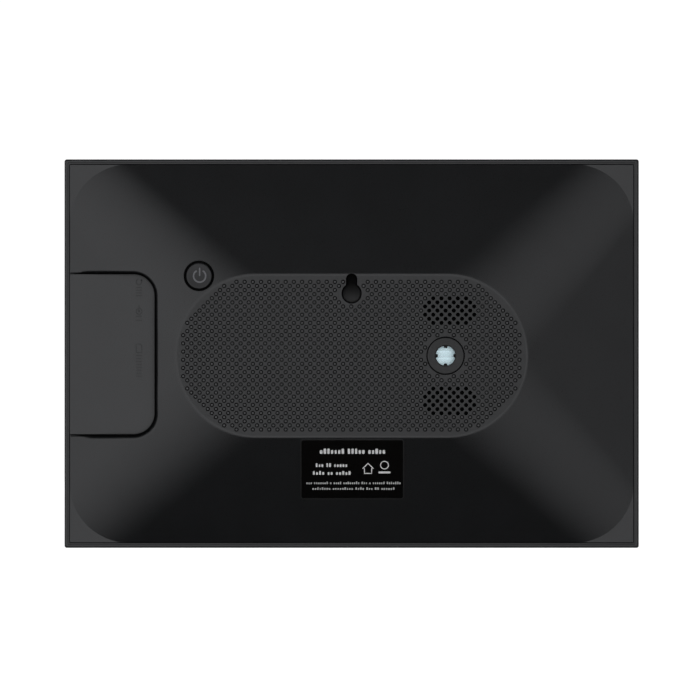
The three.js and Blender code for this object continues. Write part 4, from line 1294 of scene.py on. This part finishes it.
def power_sign(z):
    ring = stroke(arc_points(z, 0, 1.3, 25, 335), SIGN_WIDTH, 4)
    return [ring, bar(z + 0.1, z + 2.6, 0, SIGN_WIDTH), circle(z, 0, 0.36, 12)]


def card_sign(z):
    corner = [(-1.9, -1.25), (-1.9, 0), (-1.9, 1.25), (0, 1.25), (1.2, 1.25), (1.9, 0.6),
              (1.9, 0), (1.9, -1.25), (0, -1.25), (-1.5, -1.25)]
    return [stroke(np.array(corner) + (z, 0), SIGN_WIDTH, 4)]


signs = reset_sign(118.1) + upright_strokes(112.0, 115.6, 4)
signs += power_sign(105.0) + upright_strokes(101.0, 102.8, 2)
signs += card_sign(88.6) + upright_strokes(76.2, 85.4, 8)
sign_mesh = joined([slab(sign, -0.2, 0.03, on_floor, 0.01) for sign in signs])
show("port_signs", sign_mesh, "casing", [SIGN_GREY])


# ---- studio

def plain(name, strength):
    """White that gives off its own light, so that the background stays even."""
    material, tree, shader = new_material(name)
    color = ramp(tree, object_noise(tree, 3.0), 0.3, 0.7, (0.85, 0.85, 0.85), (0.8415, 0.8415, 0.8415))
    sockets = {"Base Color": color, "Roughness": 0.8, "Emission Color": (1, 1, 1, 1),
               "Emission Strength": strength}
    fill_sockets(tree, shader, sockets)
    return material


def sheet(name, corners, material):
    mesh = bpy.data.meshes.new(name)
    mesh.from_pydata(corners, [], [(0, 1, 2, 3)])
    mesh.materials.append(material)
    piece = linked(name, mesh)
    piece.visible_glossy = False
    piece.visible_diffuse = False


PALE_FLOOR = plain("pale_floor", 0.96)
PALE_WALL = plain("pale_wall", 1.0)
FLOOR = 2
ROOM = 7
ROOM_LOW, ROOM_TOP = -1.5, 8
CORNERS = [(-1, -1), (1, -1), (1, 1), (-1, 1)]
sheet("floor", [(FLOOR * x, FLOOR * y, 0) for x, y in CORNERS], PALE_FLOOR)
corners = [(ROOM * x, ROOM * y) for x, y in CORNERS]
for side in range(4):
    start, end = corners[side], corners[(side + 1) % 4]
    wall = [(*start, ROOM_LOW), (*start, ROOM_TOP), (*end, ROOM_TOP), (*end, ROOM_LOW)]
    sheet(f"backdrop_{side + 1}", wall, PALE_WALL)


LIGHT_TARGET = Vector((0, 0.01, 0.088))
PANEL_Y = 1.5


def soft_light(name, place, size, power):
    light = bpy.data.lights.new(name, "AREA")
    light.shape = "RECTANGLE"
    light.size, light.size_y = size
    light.energy = power
    light.color = (0.965, 0.975, 1.0)
    piece = linked(name, light)
    piece.location = place
    piece.rotation_euler = (LIGHT_TARGET - Vector(place)).to_track_quat("-Z", "Y").to_euler()
    piece.visible_camera = False
    return piece


def panel(name, x0, x1, z0, z1, brightness):
    """Soft box in the plane in front of the back, facing it squarely."""
    size = (x1 - x0, z1 - z0)
    place = ((x0 + x1) / 2, PANEL_Y, LIGHT_TARGET.z + (z0 + z1) / 2)
    light = soft_light(name, place, size, brightness * size[0] * size[1])
    light.rotation_euler = (-math.pi / 2, 0, 0)


panel("key_light", 0.25, 1.70, -0.56, 0.76, 4.3)
panel("centre_light", -0.30, 0.25, -0.36, 0.36, 5.1)
panel("fill_high", -1.50, -0.32, 0.12, 0.76, 3.0)
panel("fill_low", -1.50, -0.32, -0.73, -0.10, 2.9)
panel("top_glow", -1.50, 1.70, 0.82, 1.70, 0.17)
soft_light("front_light", (0.6, -1.8, 1.0), (1.2, 1.2), 5.0)
matt_fill = soft_light("matt_fill", (0, 3.0, 0.8), (3, 3), 36.0)
matt_fill.visible_glossy = False

world = bpy.data.worlds.new("studio")
world.use_nodes = True
fill_sockets(world.node_tree, world.node_tree.nodes["Background"], {"Color": (1, 1, 1, 1), "Strength": 0.03})
bpy.context.scene.world = world
bpy.context.scene.view_settings.view_transform = "Standard"
bpy.context.scene.cycles.use_denoising = True

VIEW_WIDTH = 0.3108
VIEW_DISTANCE = 4.0
camera = bpy.data.cameras.new("camera")
camera.sensor_width = 36
camera.lens = camera.sensor_width * VIEW_DISTANCE / VIEW_WIDTH
camera.clip_start, camera.clip_end = 0.1, 20
camera_piece = linked("camera", camera)
camera_piece.location = (0.00073, VIEW_DISTANCE - 0.001, 0.08785)
camera_piece.rotation_euler = (math.pi / 2, 0, math.pi)
bpy.context.scene.camera = camera_piece
